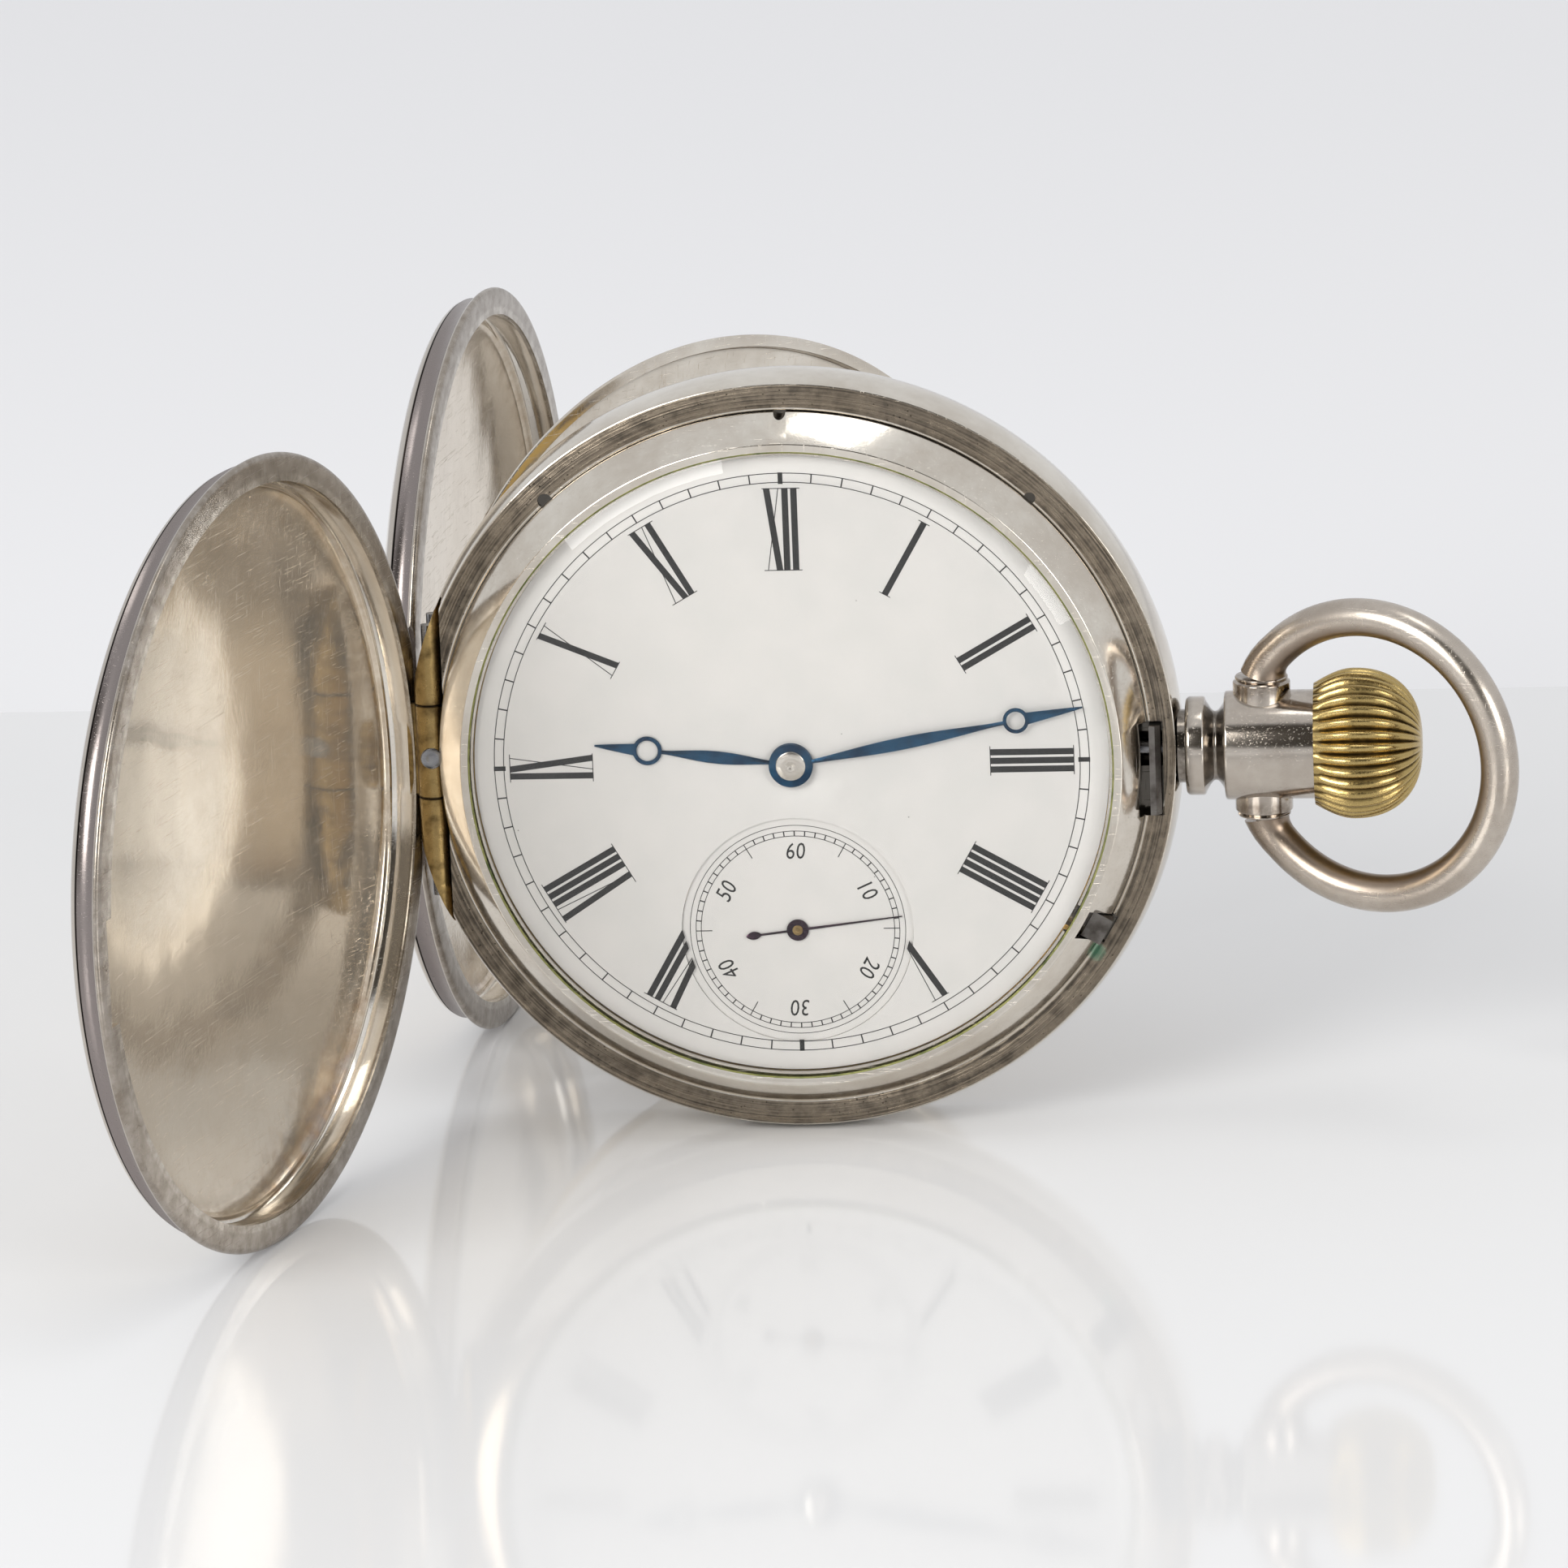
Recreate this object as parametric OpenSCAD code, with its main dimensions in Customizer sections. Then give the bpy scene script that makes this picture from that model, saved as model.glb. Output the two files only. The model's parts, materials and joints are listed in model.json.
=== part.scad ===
// Hunter-case pocket watch, stem wound, with three hinged covers standing open.
// Every module is drawn in the watch's own frame: the dial face is z = 0, +z points out of the dial,
// +y to twelve o'clock and +x to the crown. stand() turns that frame upright for the finished part:
// +Z up, the dial facing -Y, the origin on the ground under the centre of the dial.

/* [Case] */
// Outer radius of the case band and of both lids, which all stand on the ground
band_r = 26.4; // [26.2:0.1:26.8]
// Outer radius of the flat seats that the lids close on
seat_r = 26.0; // [25.9:0.05:26.1]
// Height of the front seat above the dial face
front_seat_z = -1.5; // [-1.6:0.05:-1.4]
// Height of the back seat above the dial face
back_seat_z = -7.1; // [-7.3:0.05:-7.0]
// Wall of the pressed silver lids at the middle of the dome
lid_wall = 0.6; // [0.5:0.05:0.7]
// Depth of a lid from its rim to the top of its dome
lid_depth = 4.55; // [4.4:0.05:4.8]

/* [Covers at rest] */
// Angle of the open front lid
front_lid_open = 106; // [60:1:110]
// Angle of the open back lid
back_lid_open = 84; // [60:1:90]
// Angle of the open dust cover
cuvette_open = 40; // [20:1:44]
// Angle of the bow, swung towards the front
bow_swing = 25; // [0:1:60]

/* [Dial and hands] */
// Radius of the enamel dial
dial_r = 21.9; // [21.7:0.1:22]
// Radius of the sunk seconds dial
seconds_dial_r = 7.9; // [7.5:0.1:8]
// Distance of the seconds dial below the centre
seconds_drop = 11.7; // [11.6:0.05:11.8]
// Hour hand, degrees clockwise from twelve
hour_angle = 276.6; // [0:0.1:360]
// Minute hand, degrees clockwise from twelve
minute_angle = 79.3; // [0:0.1:360]
// Seconds hand, degrees clockwise from sixty
seconds_angle = 83.1; // [0:0.1:360]

/* [Pendant and bow] */
// Depth of the pendant's axis behind the dial face
stem_z = -3.2; // [-3.3:0.05:-3.1]
// Radius of the pendant's barrel
pendant_r = 3.7; // [3.5:0.05:3.75]
// Distance of the bow's pivots from the centre of the dial
bow_pivot_x = 31.8; // [31.6:0.1:32]
// Mean radius of the bow
bow_r = 9.57; // [9.4:0.01:9.8]
// Radius of the bow's wire
bow_wire_r = 1.28; // [1.1:0.02:1.35]
// Largest radius of the crown
crown_r = 5.1; // [4.8:0.1:5.4]
// Length of the crown
crown_len = 7.3; // [7:0.1:7.6]

/* [Hidden] */
$fn = 96;
case_sides = 180;
knuckle_sides = 360;
run = 0.03;

// Case
bezel_r = 24.15;
bore_r = 21.6;
ledge_r = 22.6;
upstand_r = 23.4;
recess_r = 24.95;
lip_r = 24.5;

// Hinges at nine o'clock
hinge_x = -24.75;
hinge_drop = 1.2;
knuckle_r = 1.05;
pin_r = 0.4;
pin_half = 9.5;
knuckle_gap = 0.05;
leaf_out = 0.15;
leaf_in = 0.2;
leaf_gap = 0.01;
hinge_half = 11.6;
lid_knuckle_lo = -2.5;
lid_knuckle_hi = 4.0;
cuvette_knuckle_lo = -5.5;
chord_x = hinge_x - 0.2;
front_axis_z = front_seat_z - hinge_drop;
back_axis_z = back_seat_z + hinge_drop;

// Catch at three o'clock and setting pin near four
catch_lo = -4.2;
catch_hi = 2.0;
catch_x = 24.2;
catch_t = 0.75;
setting_angle = -30.3;
setting_w = 1.9;
slot_gap = 0.1;
pocket_gap = 0.2;

// Movement levels
plate_top = -1.1;
plate_low = -2.5;
bridge_top = -5.2;
bridge_low = -6.4;
plate_r = 21.4;

// Train: places of the arbors, worked out from the centre distances
fourth_at = [0, -seconds_drop];
centre_to_third = 7.4;
third_to_fourth = 6.2;
third_y = (pow(third_to_fourth, 2) - pow(centre_to_third, 2) - pow(seconds_drop, 2)) / (2 * seconds_drop);
third_at = [sqrt(pow(centre_to_third, 2) - pow(third_y, 2)), third_y];
escape_at = [-4.75, -13.2];
balance_at = [-11.3, -8.2];
pallet_share = 0.44;
pallet_at = escape_at + pallet_share * (balance_at - escape_at);
barrel_at = [-3.0, 9.6];
crown_wheel_at = [6.3, 3.6];
minute_wheel_at = [-3.2, 1.9];
cock_foot_at = [-17.0, 3.0];
click_at = [3.2, 13.6];
balance_r = 6.6;
arbor_r = 0.35;
pivot_r = 0.2;
jewel_r = 0.9;
hub_bore_r = 0.5;
post_r = 0.3;
screw_hole_r = 0.55;
// Heights that pass right through the back plate
cut_low = -7;
cut_top = -5;
pillar_ring = 19.3;
pillar_angles = [35, 85, 150, 262, 318];
case_screw_ring = 20.5;
case_screw_angles = [65, 240];
dial_foot_ring = 18.6;
dial_foot_angles = [52, 170, 290];
stem_r = 0.6;
winding_at = 7.2;
crown_x = 35.3;
// Levels of the winding wheels and of the motion work
winding_low = -6.6;
winding_thick = 0.4;
motion_low = -1.6;
balance_low = -5.75;

// ---------------------------------------------------------------- helpers

// Turns the watch's own frame upright and lifts it onto the ground
module stand() {
    translate([0, 0, band_r]) rotate([90, 0, 0]) children();
}

// Turns its children about a hinge at nine o'clock; a positive angle opens towards the front
module swing(axis_x, axis_z, angle) {
    translate([axis_x, 0, axis_z]) rotate([0, -angle, 0]) translate([-axis_x, 0, -axis_z]) children();
}

// Cylinder between two heights
module rod(r, z0, z1, sides = 96) {
    translate([0, 0, z0]) cylinder(r = r, h = z1 - z0, $fn = sides);
}

// Tube between two heights
module tube(r_out, r_in, z0, z1) {
    difference() {
        rod(r_out, z0, z1);
        rod(r_in, z0 - 1, z1 + 1);
    }
}

// Cylinder along +x between two distances, on the stem's axis
module stem_rod(r, x0, x1) {
    translate([x0, 0, stem_z]) rotate([0, 90, 0]) cylinder(r = r, h = x1 - x0);
}

// Cylinder along +y between two distances
module y_rod(r, x, z, y0, y1) {
    translate([x, y0, z]) rotate([-90, 0, 0]) cylinder(r = r, h = y1 - y0);
}

// Box from its low and high corners
module span_box(low, high) {
    translate(low) cube(high - low);
}

// Points of a dome from the rim at r to the axis, rising by rise above z
function dome(r, z, rise, steps = 12) =
    [for (i = [0 : steps]) let (a = 90 * i / steps) [r * cos(a), z + rise * sin(a)]];

function flip(points) = [for (i = [len(points) - 1 : -1 : 0]) points[i]];

// Points of a toothed outline: stub teeth that stay inside the radius
function toothed(teeth, r, depth) = [
    for (i = [0 : teeth - 1]) for (k = [0 : 3])
        let (a = 360 * (i + [0.12, 0.38, 0.52, 0.98][k]) / teeth, q = k < 2 ? r : r - depth)
        [q * cos(a), q * sin(a)]
];

// Train wheel with a toothed rim, crossings and a hub
module train_wheel(teeth, r, z, thick, rim, spokes, hub) {
    translate([0, 0, z]) linear_extrude(height = thick) {
        difference() {
            polygon(toothed(teeth, r, 0.22));
            circle(r = r - rim);
        }
        circle(r = hub);
        for (i = [0 : spokes - 1])
            rotate(360 * i / spokes + 20)
                translate([0, -0.22]) square([r - rim + 0.1, 0.44]);
    }
}

// Pinion with a few leaves
module pinion(leaves, r, z0, z1) {
    translate([0, 0, z0]) linear_extrude(height = z1 - z0) polygon(toothed(leaves, r, 0.3 * r));
}

// Slot that the setting pin slides in, from x0 outwards between two heights
module setting_slot(x0, x1, z0, z1) {
    half = setting_w / 2 + slot_gap;
    rotate(setting_angle) span_box([x0, -half, z0], [x1, half, z1]);
}

// Slotted cheese-head screw, head on the low side
module screw(at, head_r, head_z, head_h, shank_r, shank_top) {
    translate([at[0], at[1], 0]) {
        difference() {
            rod(head_r, head_z, head_z + head_h);
            translate([-head_r - 1, -0.15, head_z - 1]) cube([2 * head_r + 2, 0.3, 1.25]);
        }
        rod(shank_r, head_z + head_h, shank_top);
    }
}

function polar(r, a) = [r * cos(a), r * sin(a)];

// ---------------------------------------------------------------- case

// Rounded outside of the band, from the front seat to the back one
bulge = [
    for (i = [1 : 11])
        let (t = i / 12, z = front_seat_z + t * (back_seat_z - front_seat_z))
        [seat_r + (band_r - seat_r) * sin(180 * t), z]
];

module case_profile() {
    polygon(concat(
        [
            [bore_r, back_seat_z + 0.6], [bore_r, -5.7], [bore_r + 0.75, -5.7], [bore_r + 0.75, -3.9],
            [bore_r, -3.9], [bore_r, -2.0], [ledge_r, -2.0], [ledge_r, -0.9], [upstand_r, -0.9],
            [upstand_r, front_seat_z - 0.25], [bezel_r + 0.05, front_seat_z - 0.25],
            [bezel_r + 0.15, front_seat_z], [seat_r, front_seat_z]
        ],
        bulge,
        [[seat_r, back_seat_z], [recess_r, back_seat_z], [recess_r, back_seat_z + 0.6]]
    ));
}

// Room that a barrel hinge takes out of the band, open to the outside
module hinge_room(axis_z, side) {
    y_rod(knuckle_r, hinge_x, axis_z, -hinge_half, hinge_half);
    y_rod(knuckle_r + 0.12, hinge_x, axis_z, cuvette_knuckle_lo - 0.1, lid_knuckle_hi + knuckle_gap);
    outer = axis_z - side * (knuckle_r + 0.35);
    inner = axis_z + side * 3;
    span_box([-28, -hinge_half, min(outer, inner)], [hinge_x, hinge_half, max(outer, inner)]);
    span_box(
        [hinge_x - 1, -hinge_half, min(axis_z, inner)],
        [hinge_x + knuckle_r, hinge_half, max(axis_z, inner)]
    );
}

module case_middle() {
    color("silver") difference() {
        rotate_extrude($fn = case_sides) case_profile();
        hinge_room(front_axis_z, 1);
        hinge_room(back_axis_z, -1);
        stem_rod(1.32, 20, 30);
        // pocket of the lid catch
        span_box([upstand_r + 0.02, catch_lo - pocket_gap, -2.7], [25.1, catch_hi + pocket_gap, 0]);
        // slot of the lift spring beside the hinge
        span_box([-23.72, -0.6, -3.4], [-22.9, 2.8, 0]);
        // slot of the setting pin
        setting_slot(20, 24.6, -1.55, 0);
    }
}

module bezel() {
    color("gainsboro") difference() {
        rotate_extrude($fn = case_sides) polygon([
            [upstand_r + 0.05, -1.7], [bezel_r, -1.7], [bezel_r, -1.3], [22.4, 1.1], [21.8, 1.1],
            [21.8, 1.0], [22.04, 1.0], [22.04, 0.7], [21.6, 0.7], [21.6, 0.3], [22.5, -0.8],
            [upstand_r + 0.05, -0.8]
        ]);
        span_box([23.45, catch_lo - pocket_gap, -2], [26, catch_hi + pocket_gap, -0.6]);
        setting_slot(21.9, 26, -2, 0.1);
    }
}

module glass() {
    color([0.9, 0.95, 0.97, 0.3]) rotate_extrude($fn = case_sides)
        polygon([[0, 0.72], [22.0, 0.72], [22.0, 0.98], [21.75, 0.98], [20.9, 1.35], [0, 1.4]]);
}

module knuckles(axis_z, spans) {
    color("darkgoldenrod") for (s = spans) difference() {
        intersection() {
            y_rod(knuckle_r, hinge_x, axis_z, s[0], s[1]);
            rod(band_r - 0.1, -12, 6, knuckle_sides);
        }
        y_rod(pin_r + run, hinge_x, axis_z, s[0] - 1, s[1] + 1);
    }
}

module front_hinge_knuckles() {
    knuckles(front_axis_z, [
        [lid_knuckle_hi + knuckle_gap, hinge_half],
        [-hinge_half, lid_knuckle_lo - knuckle_gap]
    ]);
}

module back_hinge_knuckles() {
    knuckles(back_axis_z, [
        [lid_knuckle_hi + knuckle_gap, hinge_half],
        [-hinge_half, cuvette_knuckle_lo - knuckle_gap]
    ]);
}

module front_hinge_pin() {
    color("dimgray") y_rod(pin_r, hinge_x, front_axis_z, -pin_half, pin_half);
}

module back_hinge_pin() {
    color("dimgray") y_rod(pin_r, hinge_x, back_axis_z, -pin_half, pin_half);
}

// Flat steel spring bent along the groove inside the band
module band_spring(a0, a1) {
    color("slategray") rotate(a0) rotate_extrude(angle = a1 - a0, $fn = 180)
        translate([bore_r + 0.15, -5.5]) square([0.4, 1.4]);
}

module lift_spring() { band_spring(120, 232); }

module catch_spring() { band_spring(-62, 40); }

module case_screws() {
    color("steelblue") for (a = case_screw_angles)
        screw(polar(case_screw_ring, a), 1.5, back_seat_z + 0.1, 0.5, 0.5, bridge_low + 0.2);
}

module pendant() {
    color("silver") difference() {
        union() {
            // foot blended into the band, then collar, round groove and barrel
            translate([0, 0, stem_z]) rotate([0, 90, 0]) rotate_extrude() polygon(concat(
                [[0, 25.2], [2.5, 25.2], [2.5, 26.5]],
                [for (i = [0 : 6]) let (a = 15 * i) [3.35 - 0.85 * cos(a) , 26.5 + 0.35 * sin(a)]],
                [[3.1, 26.95], [3.1, 27.9]],
                [for (i = [0 : 8]) let (a = 22.5 * i) [3.1 - 0.75 * sin(a), 28.6 - 0.7 * cos(a)]],
                [
                    [pendant_r - 0.25, 29.3], [pendant_r, 29.6], [pendant_r, crown_x],
                    [pendant_r - 0.3, 35.6], [0, 35.6]
                ]
            ));
            // bosses that carry the bow
            for (s = [-1, 1])
                translate([bow_pivot_x, 0, stem_z]) rotate([s * 90, 0, 0]) {
                    cylinder(r = 1.9, h = 4.7);
                    translate([0, 0, 4.3]) cylinder(r1 = 1.9, r2 = 1.7, h = 0.55);
                }
        }
        stem_rod(1.3, 24, 36);
        stem_rod(2.2, 33.2, 36);
        y_rod(0.75, bow_pivot_x, stem_z, -6, -3.2);
        y_rod(0.75, bow_pivot_x, stem_z, 3.2, 6);
        // the foot follows the band and stays clear of both lids
        rotate_extrude($fn = case_sides) polygon(concat(
            [[0, front_seat_z], [seat_r, front_seat_z]], bulge, [[seat_r, back_seat_z], [0, back_seat_z]]
        ));
        tube(band_r + 0.22, band_r - 2, front_seat_z - 0.1, 6);
        tube(band_r + 0.22, band_r - 2, -12, back_seat_z + 0.1);
    }
}

// ---------------------------------------------------------------- dial

module dial() {
    color("ivory") {
        difference() {
            rod(dial_r - 0.35, -0.85, 0);
            rod(1.3, -2, 1);
            translate([0, -seconds_drop, 0]) rod(seconds_dial_r, -2, 1);
        }
        for (a = dial_foot_angles) translate(polar(dial_foot_ring, a)) rod(0.4, -1.6, -0.85);
    }
}

module seconds_dial() {
    color("ivory") translate([0, -seconds_drop, 0]) difference() {
        rod(seconds_dial_r - 0.02, -0.85, -0.2);
        rod(0.5, -2, 1);
    }
}

// ---------------------------------------------------------------- movement, fixed

module main_plate() {
    color("goldenrod") translate(minute_wheel_at) rod(post_r, -1.7, -1.0);
    color("goldenrod") difference() {
        union() {
            rod(plate_r, plate_low, plate_top);
            rod(ledge_r - 0.1, -1.95, plate_top);
        }
        rod(0.9, -4, 0);
        // room for the motion work under the dial
        rod(4.7, -1.65, 0);
        translate(minute_wheel_at) rod(2.6, -1.65, 0);
        translate(fourth_at) rod(post_r + run, -4, 0);
        for (p = [third_at, escape_at, pallet_at, balance_at, barrel_at])
            translate(p) rod(pivot_r + run, -4, 0);
        for (a = dial_foot_angles) translate(polar(dial_foot_ring, a)) rod(0.45, -1.7, 0);
        // window of the winding work
        span_box([winding_at, -2.2, -4], [15.4, 2.2, 0]);
        stem_rod(0.9, 5, 24);
        setting_slot(20, 24.6, -2.1, 0);
    }
}

module pillars() {
    color("goldenrod") for (a = pillar_angles) difference() {
        translate(polar(pillar_ring, a)) union() {
            rod(1.15, bridge_top, plate_low);
            rod(1.4, bridge_top, bridge_top + 0.3);
            rod(1.4, plate_low - 0.3, plate_low);
        }
        translate(polar(pillar_ring, a)) rod(0.5, -7, -3);
    }
}

module three_quarter_plate() {
    color("goldenrod") difference() {
        rod(plate_r - 0.1, bridge_low, bridge_top);
        // opening of the balance and the foot of its cock
        translate(balance_at) rod(balance_r + 0.6, cut_low, cut_top);
        translate(cock_foot_at) rod(3.3, cut_low, cut_top);
        translate([-22, -16.6, -7]) cube([15.3, 16.2, 2]);
        // sinks of the winding wheels
        translate(barrel_at) rod(6.6, -7, -6.05);
        translate(crown_wheel_at) rod(4.95, -7, -6.05);
        translate(barrel_at) rod(jewel_r + run, cut_low, cut_top);
        for (p = [third_at, fourth_at]) translate(p) rod(jewel_r, cut_low, cut_top);
        rod(jewel_r, cut_low, cut_top);
        for (a = pillar_angles) translate(polar(pillar_ring, a)) {
            rod(screw_hole_r, cut_low, cut_top);
            rod(1.4, -7, -6.1);
        }
        for (a = case_screw_angles) translate(polar(case_screw_ring, a)) rod(screw_hole_r, cut_low, cut_top);
        translate(click_at) rod(0.4, cut_low, cut_top);
        translate(crown_wheel_at) rod(screw_hole_r, cut_low, cut_top);
        translate(escape_at) rod(pivot_r + run, cut_low, cut_top);
    }
}

module plate_screws() {
    color("steelblue") for (a = pillar_angles)
        screw(polar(pillar_ring, a), 1.3, -6.55, 0.45, 0.5, -3.6);
}

// Ruby bearings pressed in the back plate
module plate_jewels() {
    color("crimson") for (p = [[0, 0], third_at, fourth_at]) translate(p) difference() {
        rod(jewel_r, bridge_low, -5.7);
        rod(pivot_r + run, cut_low, cut_top);
    }
}

// Narrow bridge over the pallets, on two feet
module pallet_bridge() {
    heading = atan2(balance_at[1] - escape_at[1], balance_at[0] - escape_at[0]) + 90;
    color("goldenrod") translate(pallet_at) rotate(heading) difference() {
        union() {
            span_box([-3.6, -0.6, -5.18], [3.6, 0.6, -4.93]);
            for (s = [-1, 1]) translate([s * 3.6, 0]) rod(0.9, -5.18, plate_low);
        }
        rod(pivot_r + run, -6, -4);
    }
}

// Cock that carries the back pivot of the balance
module balance_cock() {
    color("goldenrod") difference() {
        union() {
            translate(cock_foot_at) rod(3.0, bridge_low - 0.1, plate_low);
            hull() {
                translate(cock_foot_at) rod(3.0, -7.1, -6.5);
                translate(balance_at) rod(1.7, -7.1, -6.5);
            }
        }
        translate(balance_at) rod(0.9, -8, -6);
        translate(cock_foot_at) rod(0.6, -8, -3);
        translate(cock_foot_at) rod(1.35, -8, -6.8);
    }
}

module cock_screw() {
    color("steelblue") screw(cock_foot_at, 1.25, -7.25, 0.45, 0.55, -3.6);
}

module cock_jewel() {
    color("crimson") translate(balance_at) difference() {
        rod(jewel_r, -7.1, -6.6);
        rod(0.15 + run, -6.85, -6);
    }
}

// Polished steel index that turns about the balance's axis to set the rate
module regulator() {
    color("gainsboro") translate(balance_at) {
        tube(1.5, 1.0, -7.35, -7.12);
        rotate(118) translate([1.3, -0.25, -7.35]) cube([4.6, 0.5, 0.23]);
        rotate(-62) translate([1.3, -0.2, -7.35]) cube([1.4, 0.4, 0.23]);
    }
}

module click_spring() {
    color("slategray") translate([0, 0, -6.7]) linear_extrude(height = 0.25) {
        translate([7.6, 13.4]) circle(r = 0.9);
        translate([7.6, 13.4]) rotate(150) translate([0, -0.15]) square([3.0, 0.3]);
    }
}

// ---------------------------------------------------------------- covers

// Section of a pressed lid, rim at z = 0 and dome towards +z
module lid_profile() {
    inner_rise = lid_depth - lid_wall - 2.0;
    polygon(concat(
        [[lip_r, 0], [seat_r, 0], [band_r - 0.1, 0.08], [band_r, 0.3], [band_r - 0.08, 0.55], [25.8, 0.75]],
        [for (i = [1 : 5]) let (t = i / 6) [25.8 - 0.15 * t - 0.14 * sin(180 * t), 0.75 + 1.2 * t]],
        [[25.65, 1.95], [25.5, 2.05]],
        dome(25.3, 2.1, lid_depth - 2.1),
        flip(dome(24.3, 2.0, inner_rise)),
        [[24.55, 1.75], [24.7, 1.0], [24.7, 0.4], [lip_r, 0.2]]
    ));
}

// Pressed lid with the flat that clears its hinge and a nick for the catch
module lid_shell(with_nick) {
    difference() {
        rotate_extrude($fn = case_sides) lid_profile();
        span_box([-30, -12, -1], [chord_x, 12, 8]);
        if (with_nick) span_box([24, catch_lo - 2 * pocket_gap, -1], [25.15, catch_hi + 2 * pocket_gap, 0.95]);
    }
}

// Leaf and knuckle that join a lid to its pin; side is +1 at the front and -1 at the back
module lid_leaf(axis_z, rim_z, side, y0, y1, reach) {
    difference() {
        union() {
            intersection() {
                y_rod(knuckle_r, hinge_x, axis_z, y0, y1);
                rod(band_r - 0.1, -14, 8, knuckle_sides);
            }
            span_box(
                [hinge_x - leaf_out, y0, min(axis_z + side * 0.8, rim_z + side * reach)],
                [hinge_x + leaf_in, y1, max(axis_z + side * 0.8, rim_z + side * reach)]
            );
        }
        y_rod(pin_r + run, hinge_x, axis_z, y0 - 1, y1 + 1);
    }
}

module front_lid() {
    color("silver") swing(hinge_x, front_axis_z, front_lid_open)
        difference() {
            translate([0, 0, front_seat_z]) lid_shell(true);
            span_box(
                [hinge_x - leaf_out - leaf_gap, lid_knuckle_lo, -3],
                [hinge_x + leaf_in + leaf_gap, lid_knuckle_hi, front_seat_z + 0.5]
            );
        }
}

module front_lid_knuckle() {
    color("darkgoldenrod") swing(hinge_x, front_axis_z, front_lid_open)
        lid_leaf(front_axis_z, front_seat_z, 1, lid_knuckle_lo, lid_knuckle_hi, 0.5);
}

module back_lid() {
    color("silver") swing(hinge_x, back_axis_z, -back_lid_open)
        difference() {
            translate([0, 0, back_seat_z]) mirror([0, 0, 1]) lid_shell(false);
            span_box(
                [hinge_x - leaf_out - leaf_gap, lid_knuckle_lo, back_seat_z - 0.5],
                [hinge_x + leaf_in + leaf_gap, lid_knuckle_hi, -5]
            );
        }
}

module back_lid_knuckle() {
    color("darkgoldenrod") swing(hinge_x, back_axis_z, -back_lid_open)
        lid_leaf(back_axis_z, back_seat_z, -1, lid_knuckle_lo, lid_knuckle_hi, 0.5);
}

module cuvette() {
    rim_z = back_seat_z + 0.5;
    color("silver") swing(hinge_x, back_axis_z, -cuvette_open)
        difference() {
            translate([0, 0, rim_z]) mirror([0, 0, 1]) rotate_extrude($fn = case_sides) polygon(concat(
                [[23.9, 0], [24.7, 0], [24.7, 0.25], [24.38, 0.45], [24.35, 0.8]],
                dome(24.2, 0.9, 1.15),
                flip(dome(23.7, 0.5, 1.1)),
                [[23.9, 0.3]]
            ));
            span_box([-26, -12, -14], [-23.2, 12, 0]);
        }
}

module cuvette_knuckle() {
    color("darkgoldenrod") swing(hinge_x, back_axis_z, -cuvette_open) {
        difference() {
            union() {
                intersection() {
                    y_rod(knuckle_r, hinge_x, back_axis_z, cuvette_knuckle_lo, lid_knuckle_lo - knuckle_gap);
                    rod(band_r - 0.1, -14, 8, knuckle_sides);
                }
                span_box([hinge_x, cuvette_knuckle_lo, back_axis_z - knuckle_r],
                         [-23.2, lid_knuckle_lo - knuckle_gap, back_axis_z - 0.72]);
            }
            y_rod(pin_r + run, hinge_x, back_axis_z, -8, 0);
        }
    }
}

// ---------------------------------------------------------------- bow, crown and winding

// Open ring whose ends curve in through a small elbow and thicken into the feet on the bosses
module bow() {
    centre_off = 8.1;
    end_angle = 139.3;
    elbow_r = 1.5;
    foot_y = 4.95;
    foot_r = 1.6;
    elbow_wire_r = bow_wire_r + 0.02;
    collar_r = elbow_wire_r + 0.03;
    lap = 0.5;
    pin_bow_r = 0.68;
    pin_y = 3.3;
    sides = 28;
    function section(r) = [for (i = [0 : sides - 1]) polar(r, 360 * (i + 0.5) / sides)];
    elbow_at = [centre_off, 0] + polar(bow_r - elbow_r, end_angle);
    foot_x = elbow_at[0] - elbow_r;
    color("silver") translate([bow_pivot_x, 0, stem_z]) rotate([0, -bow_swing, 0]) {
        translate([centre_off, 0, 0]) rotate(-end_angle - lap)
            rotate_extrude(angle = 2 * (end_angle + lap), $fn = 128)
                translate([bow_r, 0]) polygon(section(bow_wire_r));
        for (s = [-1, 1]) mirror([0, (1 - s) / 2, 0]) {
            translate(elbow_at) rotate(end_angle)
                rotate_extrude(angle = 180 - end_angle)
                    translate([elbow_r, 0]) polygon(section(elbow_wire_r));
            translate([foot_x, foot_y, 0]) rotate([-90, 0, 0])
                cylinder(r1 = foot_r, r2 = collar_r, h = elbow_at[1] - foot_y);
            y_rod(pin_bow_r, 0, 0, pin_y, foot_y + 0.2);
        }
    }
}

module push_sleeve() {
    color("gray") difference() {
        stem_rod(1.18, 25.6, 34.8);
        stem_rod(stem_r + run, 20, 40);
    }
}

module crown() {
    x0 = crown_x;
    widest = 0.37 * crown_len;
    mouth_r = pendant_r + 0.35;
    color("gold") translate([0, 0, stem_z]) rotate([0, 90, 0]) difference() {
        rotate_extrude() polygon(concat(
            [[0, x0], [mouth_r, x0]],
            [for (i = [1 : 5]) let (t = i / 6) [mouth_r + (crown_r - mouth_r) * sin(90 * t), x0 + widest * t]],
            [for (i = [0 : 9])
                let (a = 9 * i)
                [crown_r * pow(cos(a), 0.8), x0 + widest + (crown_len - widest) * pow(sin(a), 0.9)]],
            [[0, x0 + crown_len]]
        ));
        translate([0, 0, x0 - 1]) cylinder(r = mouth_r - 0.17, h = 2.1);
        cylinder(r = stem_r, h = x0 + 3);
    }
}

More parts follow.
